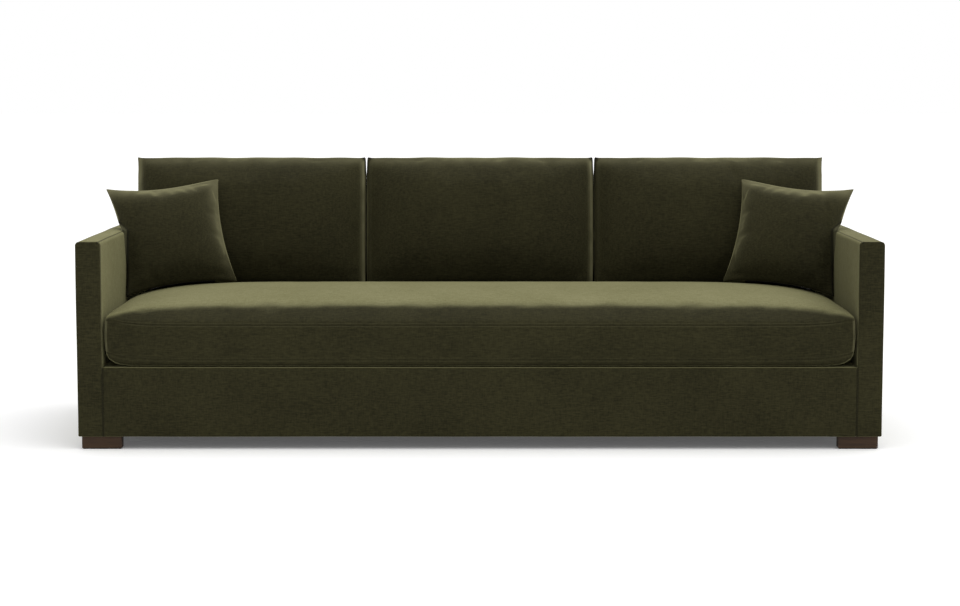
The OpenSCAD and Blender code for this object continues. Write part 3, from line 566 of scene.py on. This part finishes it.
def make_seat():
    us, su = by_arc(lambda u: np.stack([seat_half_w * u, seat_top_z(u, 0 * u)], -1), 18 * MM)
    vs, sv = by_arc(lambda v: np.stack([seat_half_d * v, seat_top_z(0 * v, v)], -1), 14 * MM)
    u, v = np.meshgrid(us, vs, indexing="ij")
    apart = np.minimum(su[:, None], sv[None, :])
    dip = seam_dip(apart, SEAT_SEAM_DEPTH)
    x, y = seat_xy(u, v, 0)
    away_x = np.where(su[:, None] <= sv[None, :], np.sign(u), 0)
    away_y = np.where(sv[None, :] < su[:, None], np.sign(v), 0)
    sheets, faces, aparts, base = [], [], [], 0
    for height, flip in ((seat_top_z, False), (seat_low_z, True)):
        p = np.stack([x - dip * away_x, y - dip * away_y, height(u, v)], -1)
        sheets.append(p.reshape(-1, 3))
        faces.append(grid_faces(len(us), len(vs), base, flip))
        aparts.append(apart.reshape(-1))
        base += len(sheets[-1])
    # The boxing runs round the border, row by row from the lower seam to the upper
    n, m = len(us), len(vs)
    border = ([(i, 0) for i in range(n - 1)] + [(n - 1, j) for j in range(m - 1)]
              + [(i, m - 1) for i in range(n - 1, 0, -1)] + [(0, j) for j in range(m - 1, 0, -1)])
    bi, bj = np.array(border).T
    bu, bv = us[bi], vs[bj]
    height = seam_top - seam_low
    places = gaps_for(height, 9 * MM)
    rows = []
    for place in places:
        s = place / height
        dip_here = seam_dip(min(place, height - place), SEAT_SEAM_DEPTH)
        out = SEAT_BULGE * math.sin(math.pi * s) - dip_here
        ends = place in (places[0], places[-1])
        bx, by = seat_xy(bu, bv, 0 if ends else out)
        if ends:
            bx, by = bx - dip_here * away_x[bi, bj], by - dip_here * away_y[bi, bj]
        z = (1 - s) * seat_low_z(bu, bv) + s * seat_top_z(bu, bv)
        rows.append(np.stack([bx, by, z], -1))
        aparts.append(np.full(len(bu), min(place, height - place)))
    rows = np.array(rows)
    sheets.append(rows.reshape(-1, 3))
    faces.append(grid_faces(len(places), len(border), base, True, closed=True))
    points, faces, apart = np.concatenate(sheets), np.concatenate(faces), np.concatenate(aparts)
    # Painted sheen: the boxing's upright corners turn pale where they round away at a glance
    edge = np.hypot(np.abs(points[:, 0]) - seat_half_w, points[:, 1] - seat_y0)
    corner_sheen = SEAT_CORNER_SHEEN * (1 - smooth_step(edge, 2 * MM, 8 * MM)) * (apart > 3 * MM)
    # Painted shade along the seams: the lower one hardly shows, and the upper one fades towards
    # the corners
    fade = smooth_step(seat_half_w - np.abs(points[:, 0]), 15 * MM, 70 * MM)
    upper = points[:, 2] > (seam_low + seam_top) / 2
    shows = np.where(upper, SEAT_TOP_SEAM * fade, SEAT_LOW_SEAM)
    marks = np.where(corner_sheen > 0.05, corner_sheen, shows * seam_shade_mark(apart))
    points = puffed("seat", points, faces, apart, seat_free(*points.T),
                    voxel=16 * MM, start_in=2 * MM, cap=7 * MM, slack=0.016)
    add_cover("seat_cushion_body", points, faces, ["seat_cushion_cover", "seat_cushion_foam"],
              marks, "seat_cushion")


# Knife-edge cushions: two grids that share their border and keep clear of each other inside it
LIP = 0.15 * MM


def knife_points(us, vs, su, sv, front, rear):
    """Points, faces and seam distances of two sheets, given as functions of u and v grids."""
    u, v = np.meshgrid(us, vs, indexing="ij")
    distance = np.minimum(su[:, None], sv[None, :])
    points = [sheet(u, v, distance).reshape(-1, 3) for sheet in (front, rear)]
    n, m = len(us), len(vs)
    faces = [grid_faces(n, m), grid_faces(n, m, n * m, True)]
    return np.concatenate(points), np.concatenate(faces), np.tile(distance.reshape(-1), 2)


back_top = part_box("middle_back_cushion_cover")[1].z
back_base_h = seam_top + BACK_OVER
back_half_h = (back_top - back_base_h) / math.cos(LEAN) / 2


def back_face_y(z):
    """Front face of the inside back at a height."""
    return panel_high.y - BACK_TOP_T - (arm_high.z - z) * math.tan(LEAN)


back_base_y = back_face_y(back_base_h) - (BACK_REAR_T + REST_GAP) / math.cos(LEAN)


def leant(x, t, h):
    """A point of the back cushions' leaning frame: t forward of the seam, h up the cushion."""
    c, s = math.cos(LEAN), math.sin(LEAN)
    return np.stack([x, back_base_y - t * c + h * s, back_base_h + t * s + h * c], -1)


# How far a back cushion's upper sides stand out of its box, along its height, over an arm and
# beside a neighbour, and how its top edge sinks between them, rises at its corners and waves
EAR_V = [-1, -0.05, 0.15, 0.73, 0.81, 0.93, 0.975, 1]
EAR_OVER_ARM = [0, 0, 4, 5.2, 4.5, 5.5, 6.8, 7.5]
EAR_BESIDE = [0.2, 0.2, 0.2, 0.2, -0.9, -1.7, -2.6, -4.2]
TOP_SINK = 3.5 * MM
TOP_RISE = 2.2 * MM
TOP_WAVE = 1.1 * MM
BACK_POWER, BACK_REAR_POWER = 2.4, 5
BACK_CORNER = 7 * MM
# Painted sheen on its rolls, each by gain and width, and painted shade in the slit beside a
# neighbour
TOP_ROLL = (0.35, 20 * MM)
LIT_ROLL, LIT_START = (1.0, 10 * MM), 4 * MM
SHADED_ROLL, SHADED_PLACE = (0.08, 6 * MM), 12 * MM
ARM_ROLL, ARM_START = (0.75, 10 * MM), 2 * MM
TIP_SHADE = (1.0, 11 * MM)
SLIT_NEAR, SLIT_FAR = 2.2 * MM, 4.4 * MM


def side_out(u, v, mid_x):
    over_arm = np.interp(v, EAR_V, EAR_OVER_ARM)
    beside = np.interp(v, EAR_V, EAR_BESIDE)
    outer = u * np.sign(mid_x) > 0
    return MM * np.where(outer & (abs(mid_x) > MM), over_arm, beside) * np.abs(u) ** 5


def make_back_cushion(side):
    low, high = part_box(f"{side}_back_cushion_cover")
    mid_x, half_w = (low.x + high.x) / 2, (high.x - low.x) / 2

    def sheet(t, power):
        def at(u, v, distance):
            ear = (np.abs(v) ** 6 - np.abs(v) ** 40) * (v < 0)
            top = np.abs(u) ** 6 - np.abs(u) ** 60
            drop = TOP_SINK * (1 - np.abs(u) ** 60 + 0.5 * top) * np.clip(v, 0, 1) ** 6
            drop = drop - TOP_RISE * np.clip(v, 0, 1) ** 12
            wave = TOP_WAVE * (np.sin(9 * u + 2 + 7 * mid_x) + np.sin(17 * u + 11 * mid_x)) / 2
            drop = drop + wave * (1 - u ** 8) * np.clip(v, 0, 1) ** 12
            inside = distance > 0
            bulge = np.sign(t) * np.maximum(
                np.abs(t) * dome(u, power) * dome(v, power) - seam_dip(distance) * inside,
                LIP * inside)
            x, h = rounded(u * half_w, v * back_half_h, half_w, back_half_h, BACK_CORNER)
            x = x - u * BACK_DRAW * ear + np.sign(u) * side_out(u, v, mid_x)
            p = leant(mid_x + x, bulge, back_half_h + h - drop)
            floor = seat_z_at(p[..., 0], np.minimum(p[..., 1], seat_y1)) + REST_GAP
            p[..., 2] = np.maximum(p[..., 2], floor)
            return p
        return at

    us, su = domed(half_w, BACK_FRONT_T, BACK_POWER, 10 * MM)
    vs, sv = domed(back_half_h, BACK_FRONT_T, BACK_POWER, 10 * MM)
    points, faces, apart = knife_points(us, vs, su, sv, sheet(BACK_FRONT_T, BACK_POWER),
                                        sheet(-BACK_REAR_T, BACK_REAR_POWER))
    on_seat = seat_z_at(points[:, 0], np.minimum(points[:, 1], seat_y1)) + REST_GAP
    free = smooth_step(points[:, 2] - on_seat, 4 * MM, 40 * MM)
    x = points[:, 0] - mid_x
    by_neighbour = (x * mid_x < 0) | (abs(mid_x) < MM)
    free = free * np.where(by_neighbour, smooth_step(half_w - np.abs(x), 6 * MM, 45 * MM), 1)
    points = puffed(side + "_back", points, faces, apart, free,
                    voxel=11 * MM, start_in=5 * MM, cap=12 * MM, slack=0.018)
    x = points[:, 0] - mid_x
    meets = (np.abs(x) > half_w - 16 * MM) & by_neighbour
    rim = np.where(meets, 0.0, rim_mark(apart))
    # Painted sheen on the roll towards a neighbour, more on the lit side, up to the slit, which
    # gets painted shade. The top's roll gets painted sheen too
    below = back_top - 2 * MM - points[:, 2]
    inwards = half_w + MM * np.interp(1 - below / back_half_h, EAR_V, EAR_BESIDE) - np.abs(x)
    beside = np.where(x > 0, painted_falloff(inwards - LIT_START, *LIT_ROLL),
                      painted_falloff(np.abs(inwards - SHADED_PLACE), *SHADED_ROLL))
    rim += painted_falloff(below, *TOP_ROLL) * (apart > MM)
    slit = np.maximum(1 - smooth_step(inwards, SLIT_NEAR, SLIT_FAR),
                      painted_falloff(np.hypot(inwards, below), *TIP_SHADE))
    # Painted sheen where the side rolls over above an arm
    over_arm = painted_falloff(half_w - ARM_START - np.abs(x), *ARM_ROLL) * (apart > 2 * MM)
    rim = np.where(by_neighbour, (rim + beside) * (1 - slit) - slit, np.maximum(rim, over_arm))
    rim = np.clip(mottled(points, rim), -1, 1)
    add_cover(f"{side}_back_cushion_body", points, faces,
              [f"{side}_back_cushion_cover", f"{side}_back_cushion_filling"], rim,
              f"{side}_back_cushion")


# Throw pillows
def turned(p):
    """A point of the pillow's own frame, turned as the left pillow lies."""
    x, y, z = p[..., 0], p[..., 1], p[..., 2]
    c, s = math.cos(PILLOW_ROLL), math.sin(PILLOW_ROLL)
    x, z = x * c - z * s, x * s + z * c
    c, s = math.cos(PILLOW_LEAN), math.sin(PILLOW_LEAN)
    y, z = y * c + z * s, z * c - y * s
    c, s = math.cos(PILLOW_YAW), math.sin(PILLOW_YAW)
    return np.stack([x * c - y * s, x * s + y * c, z], -1)


PILLOW_POWER = 2.2
PILLOW_CORNER = 5 * MM
EAR_DROP = 7 * MM
EAR_RISE = 5 * MM


def pillow_free(u, v, t, distance=None):
    half = PILLOW_W / 2
    bulge = np.abs(t) * dome(u, PILLOW_POWER) * dome(v, PILLOW_POWER)
    x, z = u * half, v * half
    if distance is not None:
        inside = distance > 0
        bulge = np.maximum(bulge - seam_dip(distance) * inside, LIP * inside)
        x, z = rounded(x, z, half, half, PILLOW_CORNER)
        # The upper ear away from the arm hangs a little, and the one over the arm stands up
        upper = np.clip(v, 0, 1) ** 4
        z = z + upper * (EAR_RISE * np.clip(-u, 0, 1) ** 4 - EAR_DROP * np.clip(u, 0, 1) ** 4)
        x = x - EAR_RISE * upper * np.clip(-u, 0, 1) ** 4
    return np.stack([x - u * PILLOW_DRAW * (1 - v * v), np.sign(t) * bulge,
                     z - v * PILLOW_DRAW * (1 - u * u)], -1)


def pillow_centre():
    steps = np.sin(math.pi / 2 * np.linspace(-1, 1, 17))
    u, v = np.meshgrid(steps, steps, indexing="ij")
    p = turned(pillow_free(u, v, PILLOW_T))
    reach = (p[..., 1] * math.cos(LEAN) - p[..., 2] * math.sin(LEAN)).max()
    z = seat_high.z + PILLOW_OVER
    y = back_base_y + ((z - back_base_h) * math.sin(LEAN) - BACK_FRONT_T - REST_GAP
                       + PILLOW_NESTLE - reach) / math.cos(LEAN)
    return np.array([-inner_x + PILLOW_IN, y, z])


# How a pillow that leans on an arm gives way: it curls forward, least near the seat, and above
# the arm it reaches over the arm's top within OVER_RISE
CURL_GAIN = 5.0
CURL_MOST = 100 * MM
CURL_LEAST = 0.3
CURL_LOW, CURL_HIGH = 0.16, 0.04
OVER_RISE = 48 * MM
PRESS_EASE = 3.5 * MM


def arm_limit(z):
    """How far out the left pillow reaches at a height: to the arm, and above it over its top."""
    over_arm = np.clip(z - arm_high.z - 1 * MM, 0, None)
    return -inner_x + REST_GAP + over_arm * (inner_x + arm_low.x) / OVER_RISE


def pressed(p):
    """The arm's inner face and top and the seat hold the left pillow's points back."""
    held = np.maximum(soft_max(p[..., 0], arm_limit(p[..., 2]), PRESS_EASE), arm_low.x)
    # What the arm pushes in curls forward along it, most at the arm's top
    push = CURL_GAIN * (held - p[..., 0])
    share = CURL_LEAST + (1 - CURL_LEAST) * smooth_step(
        p[..., 2], arm_high.z - CURL_LOW, arm_high.z - CURL_HIGH)
    p[..., 1] -= CURL_MOST * np.tanh(push / CURL_MOST) * share
    p[..., 0] = held
    floor = seat_z_at(np.maximum(p[..., 0], -seat_half_w), p[..., 1]) + REST_GAP
    p[..., 2] = np.maximum(p[..., 2], floor)
    return p


# Painted sheen on their rolls, each by gain and width, how lit each pillow's inner side is, and
# the painted shade against the arm
PILLOW_TOP_ROLL = (0.66, 34 * MM)
PILLOW_SIDE_ROLLS = ((1.0, 29 * MM), (0.18, 75 * MM))
PILLOW_LIT = {"left": 0.52, "right": 0.33}
ARM_SHADE, ARM_SHADE_OVER = 0.8, 46 * MM


def make_pillow(side):
    centre = pillow_centre()
    us, su = domed(PILLOW_W / 2, PILLOW_T, PILLOW_POWER, 7 * MM)

    def sheet(t):
        return lambda u, v, d: pressed(centre + turned(pillow_free(u, v, t, d)))

    points, faces, apart = knife_points(us, us, su, su, sheet(-PILLOW_T), sheet(PILLOW_T))
    on_seat = seat_z_at(np.maximum(points[:, 0], -seat_half_w), points[:, 1]) + REST_GAP
    free = smooth_step(points[:, 2] - on_seat, 3 * MM, 30 * MM)
    free = free * smooth_step(points[:, 0] + inner_x, 3 * MM, 25 * MM)
    if side == "right":
        points, faces = mirrored(points), faces[:, ::-1]
    points = puffed(side + "_pillow", points, faces, apart, free,
                    voxel=8 * MM, start_in=5 * MM, cap=11 * MM, slack=0.026)
    # Painted sheen where the top and the inner side roll over, and painted shade on the side that
    # lies against the arm
    u, v = np.meshgrid(us, us, indexing="ij")
    from_inner, from_top = [np.tile((1 - w).reshape(-1), 2) * PILLOW_W / 2 for w in (u, v)]
    upper = smooth_step(PILLOW_W - from_top, 10 * MM, 170 * MM)
    inner = sum(painted_falloff(from_inner, *roll) for roll in PILLOW_SIDE_ROLLS)
    roll = np.maximum(painted_falloff(from_top, *PILLOW_TOP_ROLL), PILLOW_LIT[side] * upper * inner)
    on_arm = 1 - smooth_step(-np.abs(points[:, 0]) - arm_limit(points[:, 2]), 4 * MM, 14 * MM)
    on_arm = on_arm * (points[:, 2] < arm_high.z + ARM_SHADE_OVER)
    rim = np.where(apart > MM, np.maximum(rim_mark(apart), roll), rim_mark(apart))
    rim = mottled(points, rim) * (1 - on_arm) - ARM_SHADE * on_arm
    add_cover(f"{side}_pillow_body", points, faces,
              [f"{side}_pillow_cover", f"{side}_pillow_insert"], np.clip(rim, -1, 1),
              f"{side}_throw_pillow")


# Upholstered shells: an outline with rounded corners, lofted along one axis
CORNER_STEPS = 16


def outline(low, high, radii, step):
    """Points round a rectangle, counter-clockwise from its low corner, and their outward ways."""
    (a0, b0), (a1, b1), (r0, r1, r2, r3) = low, high, radii
    centres = np.array([(a0 + r0, b0 + r0), (a1 - r1, b0 + r1), (a1 - r2, b1 - r2),
                        (a0 + r3, b1 - r3)])
    points, ways = [], []
    for k, (start, centre, r) in enumerate(zip((180, 270, 0, 90), centres, radii)):
        for n in range(CORNER_STEPS + 1):
            angle = math.radians(start + 90 * n / CORNER_STEPS)
            way = np.array((math.cos(angle), math.sin(angle)))
            points.append(centre + r * way)
            ways.append(way)
        here, after = points[-1], (k + 1) % 4
        end = centres[after] + radii[after] * way
        count = max(1, int(math.dist(here, end) / step))
        for n in range(1, count):
            points.append(here + (end - here) * (n / count))
            ways.append(way)
    return np.array(points), np.array(ways)


END_SEAM = 2.2 * MM
GROOVE_DEPTH, GROOVE_WIDTH = 0.8 * MM, 2.1 * MM
ROUND_STEPS = 8
PANEL_SHARES = (0.0, 0.2, 0.4, 0.6, 0.78, 0.92)


def shell(low, high, axis, radii, end_r, crown=(0, 0), step=20 * MM, grooves=(), shape=None):
    """Points, faces and seam marks of a soft box lofted along an axis.

    low and high are its corners, radii the outline's four corner radii, end_r the rounding at
    its ends and crown how far the two end panels swell. A panel seam lies beside each end's
    rounding where the box has room, and grooves are angles round the outline, in degrees from
    the first other axis, at which a seam runs along the axis. shape moves the finished points."""
    others = [k for k in range(3) if k != axis]
    points, ways = outline(low[others], high[others], radii, step)
    start, end = low[axis], high[axis]
    middle, half = (low[others] + high[others]) / 2, (high[others] - low[others]) / 2
    slack = np.clip(half - half.min(), 0, None)
    dips, along = np.zeros(len(points)), np.zeros(len(points))
    for angle in grooves:
        way = np.array([math.cos(math.radians(angle)), math.sin(math.radians(angle))])
        seam = points[np.argmax(ways @ way)]
        apart = np.linalg.norm(points - seam, axis=1)
        dips = dips + seam_dip(apart, GROOVE_DEPTH)
        # Painted shade along each groove's seam
        along = along + seam_shade_mark(apart, GROOVE_WIDTH, 0)
    rings, marks = [], []

    def ring(place, inset, share=1.0, mark=0.0):
        p = points - ways * (inset + dips * min(1.0, share))[:, None]
        if share < 1.0:
            medial = middle + np.clip(p - middle, -slack, slack)
            p = medial + (p - medial) * share
        full = np.zeros((len(p), 3))
        full[:, others], full[:, axis] = p, place
        rings.append(full)
        marks.append(along * (share == 1.0) + mark)

    def rounding(place, into, order):
        for n in order:
            angle = math.pi / 2 * n / ROUND_STEPS
            ring(place + into * end_r * (1 - math.cos(angle)), end_r * (1 - math.sin(angle)),
                 mark=seam_shade_mark(END_SEAM + end_r * (math.pi / 2 - angle)))

    def seam_row(place, row):
        from_seam = abs(row - END_SEAM)
        ring(place, seam_dip(from_seam), mark=seam_shade_mark(from_seam))

    first, last = start + end_r, end - end_r
    seam_rows = [row for row in SEAM_ROWS[1:-1] if row < 0.45 * (last - first)]
    reach = seam_rows[-1] if seam_rows else 0.0
    for share in PANEL_SHARES:
        ring(start - crown[0] * (1 - share * share), end_r, share)
    rounding(start, 1, range(ROUND_STEPS + 1))
    for row in seam_rows:
        seam_row(first + row, row)
    length = last - first - 2 * reach
    count = max(1, int(length / step))
    for n in range(1, count):
        ring(first + reach + length * n / count, 0)
    for row in seam_rows[::-1]:
        seam_row(last - row, row)
    rounding(end, -1, range(ROUND_STEPS, -1, -1))
    for share in PANEL_SHARES[::-1]:
        ring(end + crown[1] * (1 - share * share), end_r, share)
    rings = np.array(rings)
    faces = grid_faces(len(rings), len(points), 0, axis != 1, closed=True)
    solid = rings.reshape(-1, 3)
    if shape:
        solid = shape(solid)
    return solid, faces, np.clip(np.concatenate(marks), -1, 1)


# Vector noise takes its places from the clock unless it has a seed
NOISE_SEED = 1795890797
noise.seed_set(NOISE_SEED)


def ripple(points, amount, size, shift):
    """Moves points a little, as padding does, by smooth noise of a given size."""
    out = points.copy()
    for k, p in enumerate(points):
        q = Vector(p) / size + Vector((shift, shift * 0.37, -shift))
        out[k] += amount * np.array(noise.noise_vector(q))
    return out


# Covers are sewn a little way into the arms. The padding's unevenness, the arm seams' angles and
# how much painted shade darkens the right arm, inside and on top, as it faces away from the key
# lamp
SEWN = Vector((1.2 * MM, 0, 0))
RAIL_SEAM = 6 * MM
UNEVEN = 0.7 * MM
ARM_SEAMS = (68, 105)
ARM_SWELL = 0.8 * MM
RIGHT_INNER_SHADE, RIGHT_TOP_SHADE = 0.32, 0.2


def make_arm(side):
    points, faces, marks = shell(np.array(arm_low), np.array(arm_high), 1,
                                 [4 * MM, 4 * MM, 12 * MM, 12 * MM], 3.5 * MM,
                                 crown=(ARM_SWELL, 0), grooves=ARM_SEAMS)
    # The seam beside the front rail's cover lies in its own shade
    rail_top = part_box("front_rail_cover")[1].z
    by_rail = (points[:, 2] < rail_top - 2 * MM) & (points[:, 1] < arm_low.y + 20 * MM)
    inner = smooth_step(points[:, 0], arm_high.x - 4 * MM, arm_high.x)
    marks = np.where(by_rail, np.minimum(marks, -inner), marks)
    points = ripple(points, UNEVEN, 160 * MM, 3.0)
    if side == "right":
        # Painted shade: this arm's inner side and top face away from the key lamp, so they are
        # darkened
        top = smooth_step(points[:, 2], arm_high.z - 6 * MM, arm_high.z - 1 * MM)
        brushed = np.maximum(RIGHT_INNER_SHADE * inner, RIGHT_TOP_SHADE * top)
        marks = marks - brushed * (marks > -0.2)
        points, faces = mirrored(points), faces[:, ::-1]
    add_cover(f"{side}_arm_upholstery", points, faces, [f"{side}_arm_cover"], marks)


def make_front_rail():
    low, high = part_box("front_rail_cover")
    points, faces, _ = shell(np.array(low - SEWN), np.array(high + SEWN), 0,
                             [4 * MM, 4 * MM, 4 * MM, 3.5 * MM], 1.5 * MM, step=24 * MM)
    # Painted shade on the rail's ends, where they meet the arms
    ends = smooth_step(np.abs(points[:, 0]), high.x - RAIL_SEAM, high.x - RAIL_SEAM / 4)
    points = ripple(points, UNEVEN, 190 * MM, 5.0)
    points[:, 2] = np.minimum(points[:, 2], high.z)
    add_cover("front_rail_upholstery", points, faces, ["front_rail_cover"], -0.5 * ends)


def make_deck():
    low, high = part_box("deck_cover")
    over = Vector((0.5, 0.5, 0)) * MM
    points, faces, marks = shell(np.array(low - over) - (0, 0, 8 * MM), np.array(high + over), 2,
                                 [1.5 * MM] * 4, 1.5 * MM, step=40 * MM)
    add_cover("deck_upholstery", points, faces, ["deck_cover"], marks)


def make_inside_back():
    low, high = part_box("inside_back_cover")
    top_y = back_face_y(high.z)
    low, high = low - SEWN, high + SEWN

    def rake(p):
        share = (p[:, 1] - top_y) / (high.y - top_y)
        front = back_face_y(p[:, 2])
        q = p.copy()
        q[:, 1] = front + (high.y - front) * share
        return q

    points, faces, marks = shell(np.array((low.x, top_y, low.z)), np.array(high), 0,
                                 [8 * MM, 8 * MM, 5 * MM, 6 * MM], 1.5 * MM, step=26 * MM,
                                 shape=rake)
    points = ripple(points, UNEVEN, 190 * MM, 7.0)
    add_cover("inside_back_upholstery", points, faces, ["inside_back_cover"], marks)


def make_outside_back():
    low, high = np.array(panel_low), np.array(panel_high)
    low[1] -= 6 * MM
    points, faces, marks = shell(low, high, 1, [8 * MM] * 4, 3.5 * MM, step=30 * MM)
    add_cover("outside_back_upholstery", points, faces, ["outside_back_panel"], marks)


# Zippers: a woven tape along the seam, teeth that mesh, and a slider with its pull
TAPE_HALF = 6 * MM
TAPE_UNDER = -0.4 * MM
TOOTH_PITCH = 3 * MM
TOOTH_SIZE = (1.7 * MM, 3.2 * MM, 1.0 * MM)
# The slider's body, crown and pull: how far along and out of the zipper, and size, all in mm
SLIDER_PARTS = ((14, 1.1, (9, 6, 1.5)), (18, 1.9, (3, 2, 1.2)), (28, 1.7, (20, 3.6, 0.9)))


def boxes(centres, ways, sizes):
    """Boxes at places, each with its own directions and its sizes along them."""
    corner = np.array([(x, y, z) for x in (-1, 1) for y in (-1, 1) for z in (-1, 1)]) / 2
    quads = np.array([(0, 1, 3, 2), (4, 6, 7, 5), (0, 4, 5, 1), (2, 3, 7, 6), (0, 2, 6, 4),
                      (1, 5, 7, 3)])
    points, faces = [], []
    for k, (centre, turn, size) in enumerate(zip(centres, ways, sizes)):
        points.append(centre + (corner * size) @ np.array(turn))
        faces.append((quads if np.linalg.det(turn) > 0 else quads[:, ::-1]) + 8 * k)
    return np.concatenate(points), np.concatenate(faces)


def make_zipper(name, node, body, line, across, out, relief=1.0):
    """A closed zipper along a line of points on a cover. relief scales how proud it stands."""
    line, across, out = np.array(line), np.array(across), np.array(out)
    places = np.concatenate([[0], np.cumsum(np.linalg.norm(np.diff(line, axis=0), axis=1))])
    count = int(places[-1] / TOOTH_PITCH)

    def at(place):
        return np.array([np.interp(place, places, line[:, k]) for k in range(3)]).T

    def along(place):
        way = at(place + MM) - at(place - MM)
        return way / np.linalg.norm(way)

    lift = 0.3 * MM * relief
    sides = np.linspace(-1, 1, 9)
    rib = 0.35 * MM * relief * np.cos(sides * math.pi * 3.5) ** 2
    runs = np.linspace(0, places[-1], count // 4)
    ring = [*zip(sides, lift + rib), *((side, TAPE_UNDER) for side in sides[::-1])]
    rings = [(runs[0], 0), *((run, 1) for run in runs), (runs[-1], 0)]
    tape = [at(run) + full * (across * side * TAPE_HALF + out * height)
            for run, full in rings for side, height in ring]
    turn = (along(places[-1] / 2), across, out)
    faces = grid_faces(len(rings), len(ring), 0, np.linalg.det(turn) < 0, closed=True)
    add_piece(f"{name}_tape", np.array(tape), faces, MATERIALS["zipper"], body,
              replaces=[node], smooth=False)
    centres, ways = [], []
    for k in range(count - 1):
        place = (k + 1) * TOOTH_PITCH
        centres.append(
            at(place) + across * 0.7 * MM * (-1) ** k + out * (lift + 0.5 * MM * relief))
        ways.append((along(place), across, out))
    points, faces = boxes(centres, ways, [np.array(TOOTH_SIZE) * (1, 1, relief)] * len(ways))
    add_piece(f"{name}_teeth", points, faces, MATERIALS["teeth"], body, smooth=False)
    centres, ways, sizes = [], [], []
    for run, up, size in SLIDER_PARTS:
        centres.append(at(run * MM) + out * (up * MM * relief))
        ways.append((along(run * MM), across, out))
        sizes.append(np.array(size) * MM * (1, 1, relief))
    points, faces = boxes(centres, ways, sizes)
    add_piece(f"{name}_slider", points, faces, MATERIALS["steel"], body, smooth=False)


FLAT_RELIEF = 0.2


def make_zippers():
    low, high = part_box("seat_cushion_zipper")
    z = (low.z + high.z) / 2
    y = seat_y1 + SEAT_BULGE * math.sin(math.pi * (z - seam_low) / (seam_top - seam_low))
    make_zipper("seat_zip", "seat_cushion_zipper", "seat_cushion", [(low.x, y, z),
                (high.x, y, z)], (0, 0, 1), (0, 1, 0))
    c, s = math.cos(LEAN), math.sin(LEAN)
    for side in ("left", "middle", "right"):
        low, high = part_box(f"{side}_back_cushion_zipper")
        xs = np.linspace(low.x, high.x, 9)
        line = leant(xs, 0 * xs, 0 * xs)
        line[:, 2] = np.maximum(line[:, 2], seat_z_at(line[:, 0], line[:, 1]) + REST_GAP)
        make_zipper(f"{side}_back_zip", f"{side}_back_cushion_zipper",
                    f"{side}_back_cushion", line, (0, c, -s), (0, -s, -c), FLAT_RELIEF)
    for side, sign in (("left", 1), ("right", -1)):
        us = np.linspace(-0.6, 0.6, 25)
        line = pressed(pillow_centre() + turned(pillow_free(us, 0 * us - 1, PILLOW_T, 0 * us)))
        across, out = turned(np.array([0.0, 1, 0])), turned(np.array([0.0, 0, -1]))
        flip = np.array([sign, 1, 1])
        make_zipper(f"{side}_pillow_zip", f"{side}_pillow_zipper", f"{side}_throw_pillow",
                    line * flip, across * flip, out * flip, FLAT_RELIEF)


# Studio
FOCAL_PX = 2231.57
IMAGE_W = 960
CAMERA_PITCH = 0.100864522
CAMERA_BACK = 6.69328
CAMERA_HEIGHT = 1.12443
SOFA_D = 0.965
FLOOR_GLOW = 0.085
FOOT_BEVEL = 1.2 * MM


def make_camera():
    data = bpy.data.cameras.new("camera")
    data.sensor_width = 36
    data.lens = data.sensor_width * FOCAL_PX / IMAGE_W
    camera = new_object("camera", data)
    camera.location = (0, panel_high.y - SOFA_D - CAMERA_BACK, CAMERA_HEIGHT)
    camera.rotation_euler = (math.pi / 2 - CAMERA_PITCH, 0, 0)
    bpy.context.scene.camera = camera


def make_sun(name, direction, strength, angle):
    """A soft lamp that shines along a direction."""
    data = bpy.data.lights.new(name, "SUN")
    data.energy = strength
    data.angle = math.radians(angle)
    lamp = new_object(name, data)
    lamp.rotation_euler = Vector(direction).to_track_quat("-Z", "Y").to_euler()


def seen_or_mirrored(tree):
    """1 for rays from the camera, off gloss or through glass."""
    path = tree.nodes.new("ShaderNodeLightPath")
    value = path.outputs["Is Camera Ray"]
    for key in ("Is Glossy Ray", "Is Transmission Ray"):
        node = tree.nodes.new("ShaderNodeMath")
        node.operation = "MAXIMUM"
        tree.links.new(value, node.inputs[0])
        tree.links.new(path.outputs[key], node.inputs[1])
        value = node.outputs[0]
    return value


def make_world(strength):
    """White light all round, and plain white where the camera sees past the floor."""
    world = bpy.data.worlds.new("studio")
    bpy.context.scene.world = world
    world.use_nodes = True
    tree = world.node_tree
    tree.nodes.clear()
    mix = tree.nodes.new("ShaderNodeMixShader")
    output = tree.nodes.new("ShaderNodeOutputWorld")
    tree.links.new(seen_or_mirrored(tree), mix.inputs[0])
    for k, level in ((1, strength), (2, 1.0)):
        white = tree.nodes.new("ShaderNodeBackground")
        white.inputs["Color"].default_value = (1, 1, 1, 1)
        white.inputs["Strength"].default_value = level
        tree.links.new(white.outputs[0], mix.inputs[k])
    tree.links.new(mix.outputs[0], output.inputs["Surface"])


def make_floor():
    """A white floor that keeps the shadow, with a little light of its own for the camera."""
    size = 60.0
    mesh = bpy.data.meshes.new("floor")
    mesh.from_pydata([(-size, -size, 0), (size, -size, 0), (size, size, 0), (-size, size, 0)], [],
                     [(0, 1, 2, 3)])
    g = Graph("floor")
    glow = g.math("MULTIPLY", seen_or_mirrored(g.tree), FLOOR_GLOW)
    mesh.materials.append(g.finish({
        "Base Color": (0.97, 0.97, 0.97, 1), "Roughness": 1.0, "Specular IOR Level": 0.0,
        "Emission Color": (1, 1, 1, 1), "Emission Strength": glow}))
    floor = new_object("floor", mesh)


bpy.context.scene.view_settings.view_transform = "Standard"
make_camera()
make_world(strength=0.62)
make_sun("key", (-0.29, 0.12, -1.0), strength=1.8, angle=80)
make_floor()
dress_nodes()
for foot in NODE_MATERIALS["foot"]:
    ease_edges(foot, FOOT_BEVEL)
make_seat()
for side in ("left", "middle", "right"):
    make_back_cushion(side)
for side in ("left", "right"):
    make_pillow(side)
    make_arm(side)
make_front_rail()
make_deck()
make_inside_back()
make_outside_back()
make_zippers()
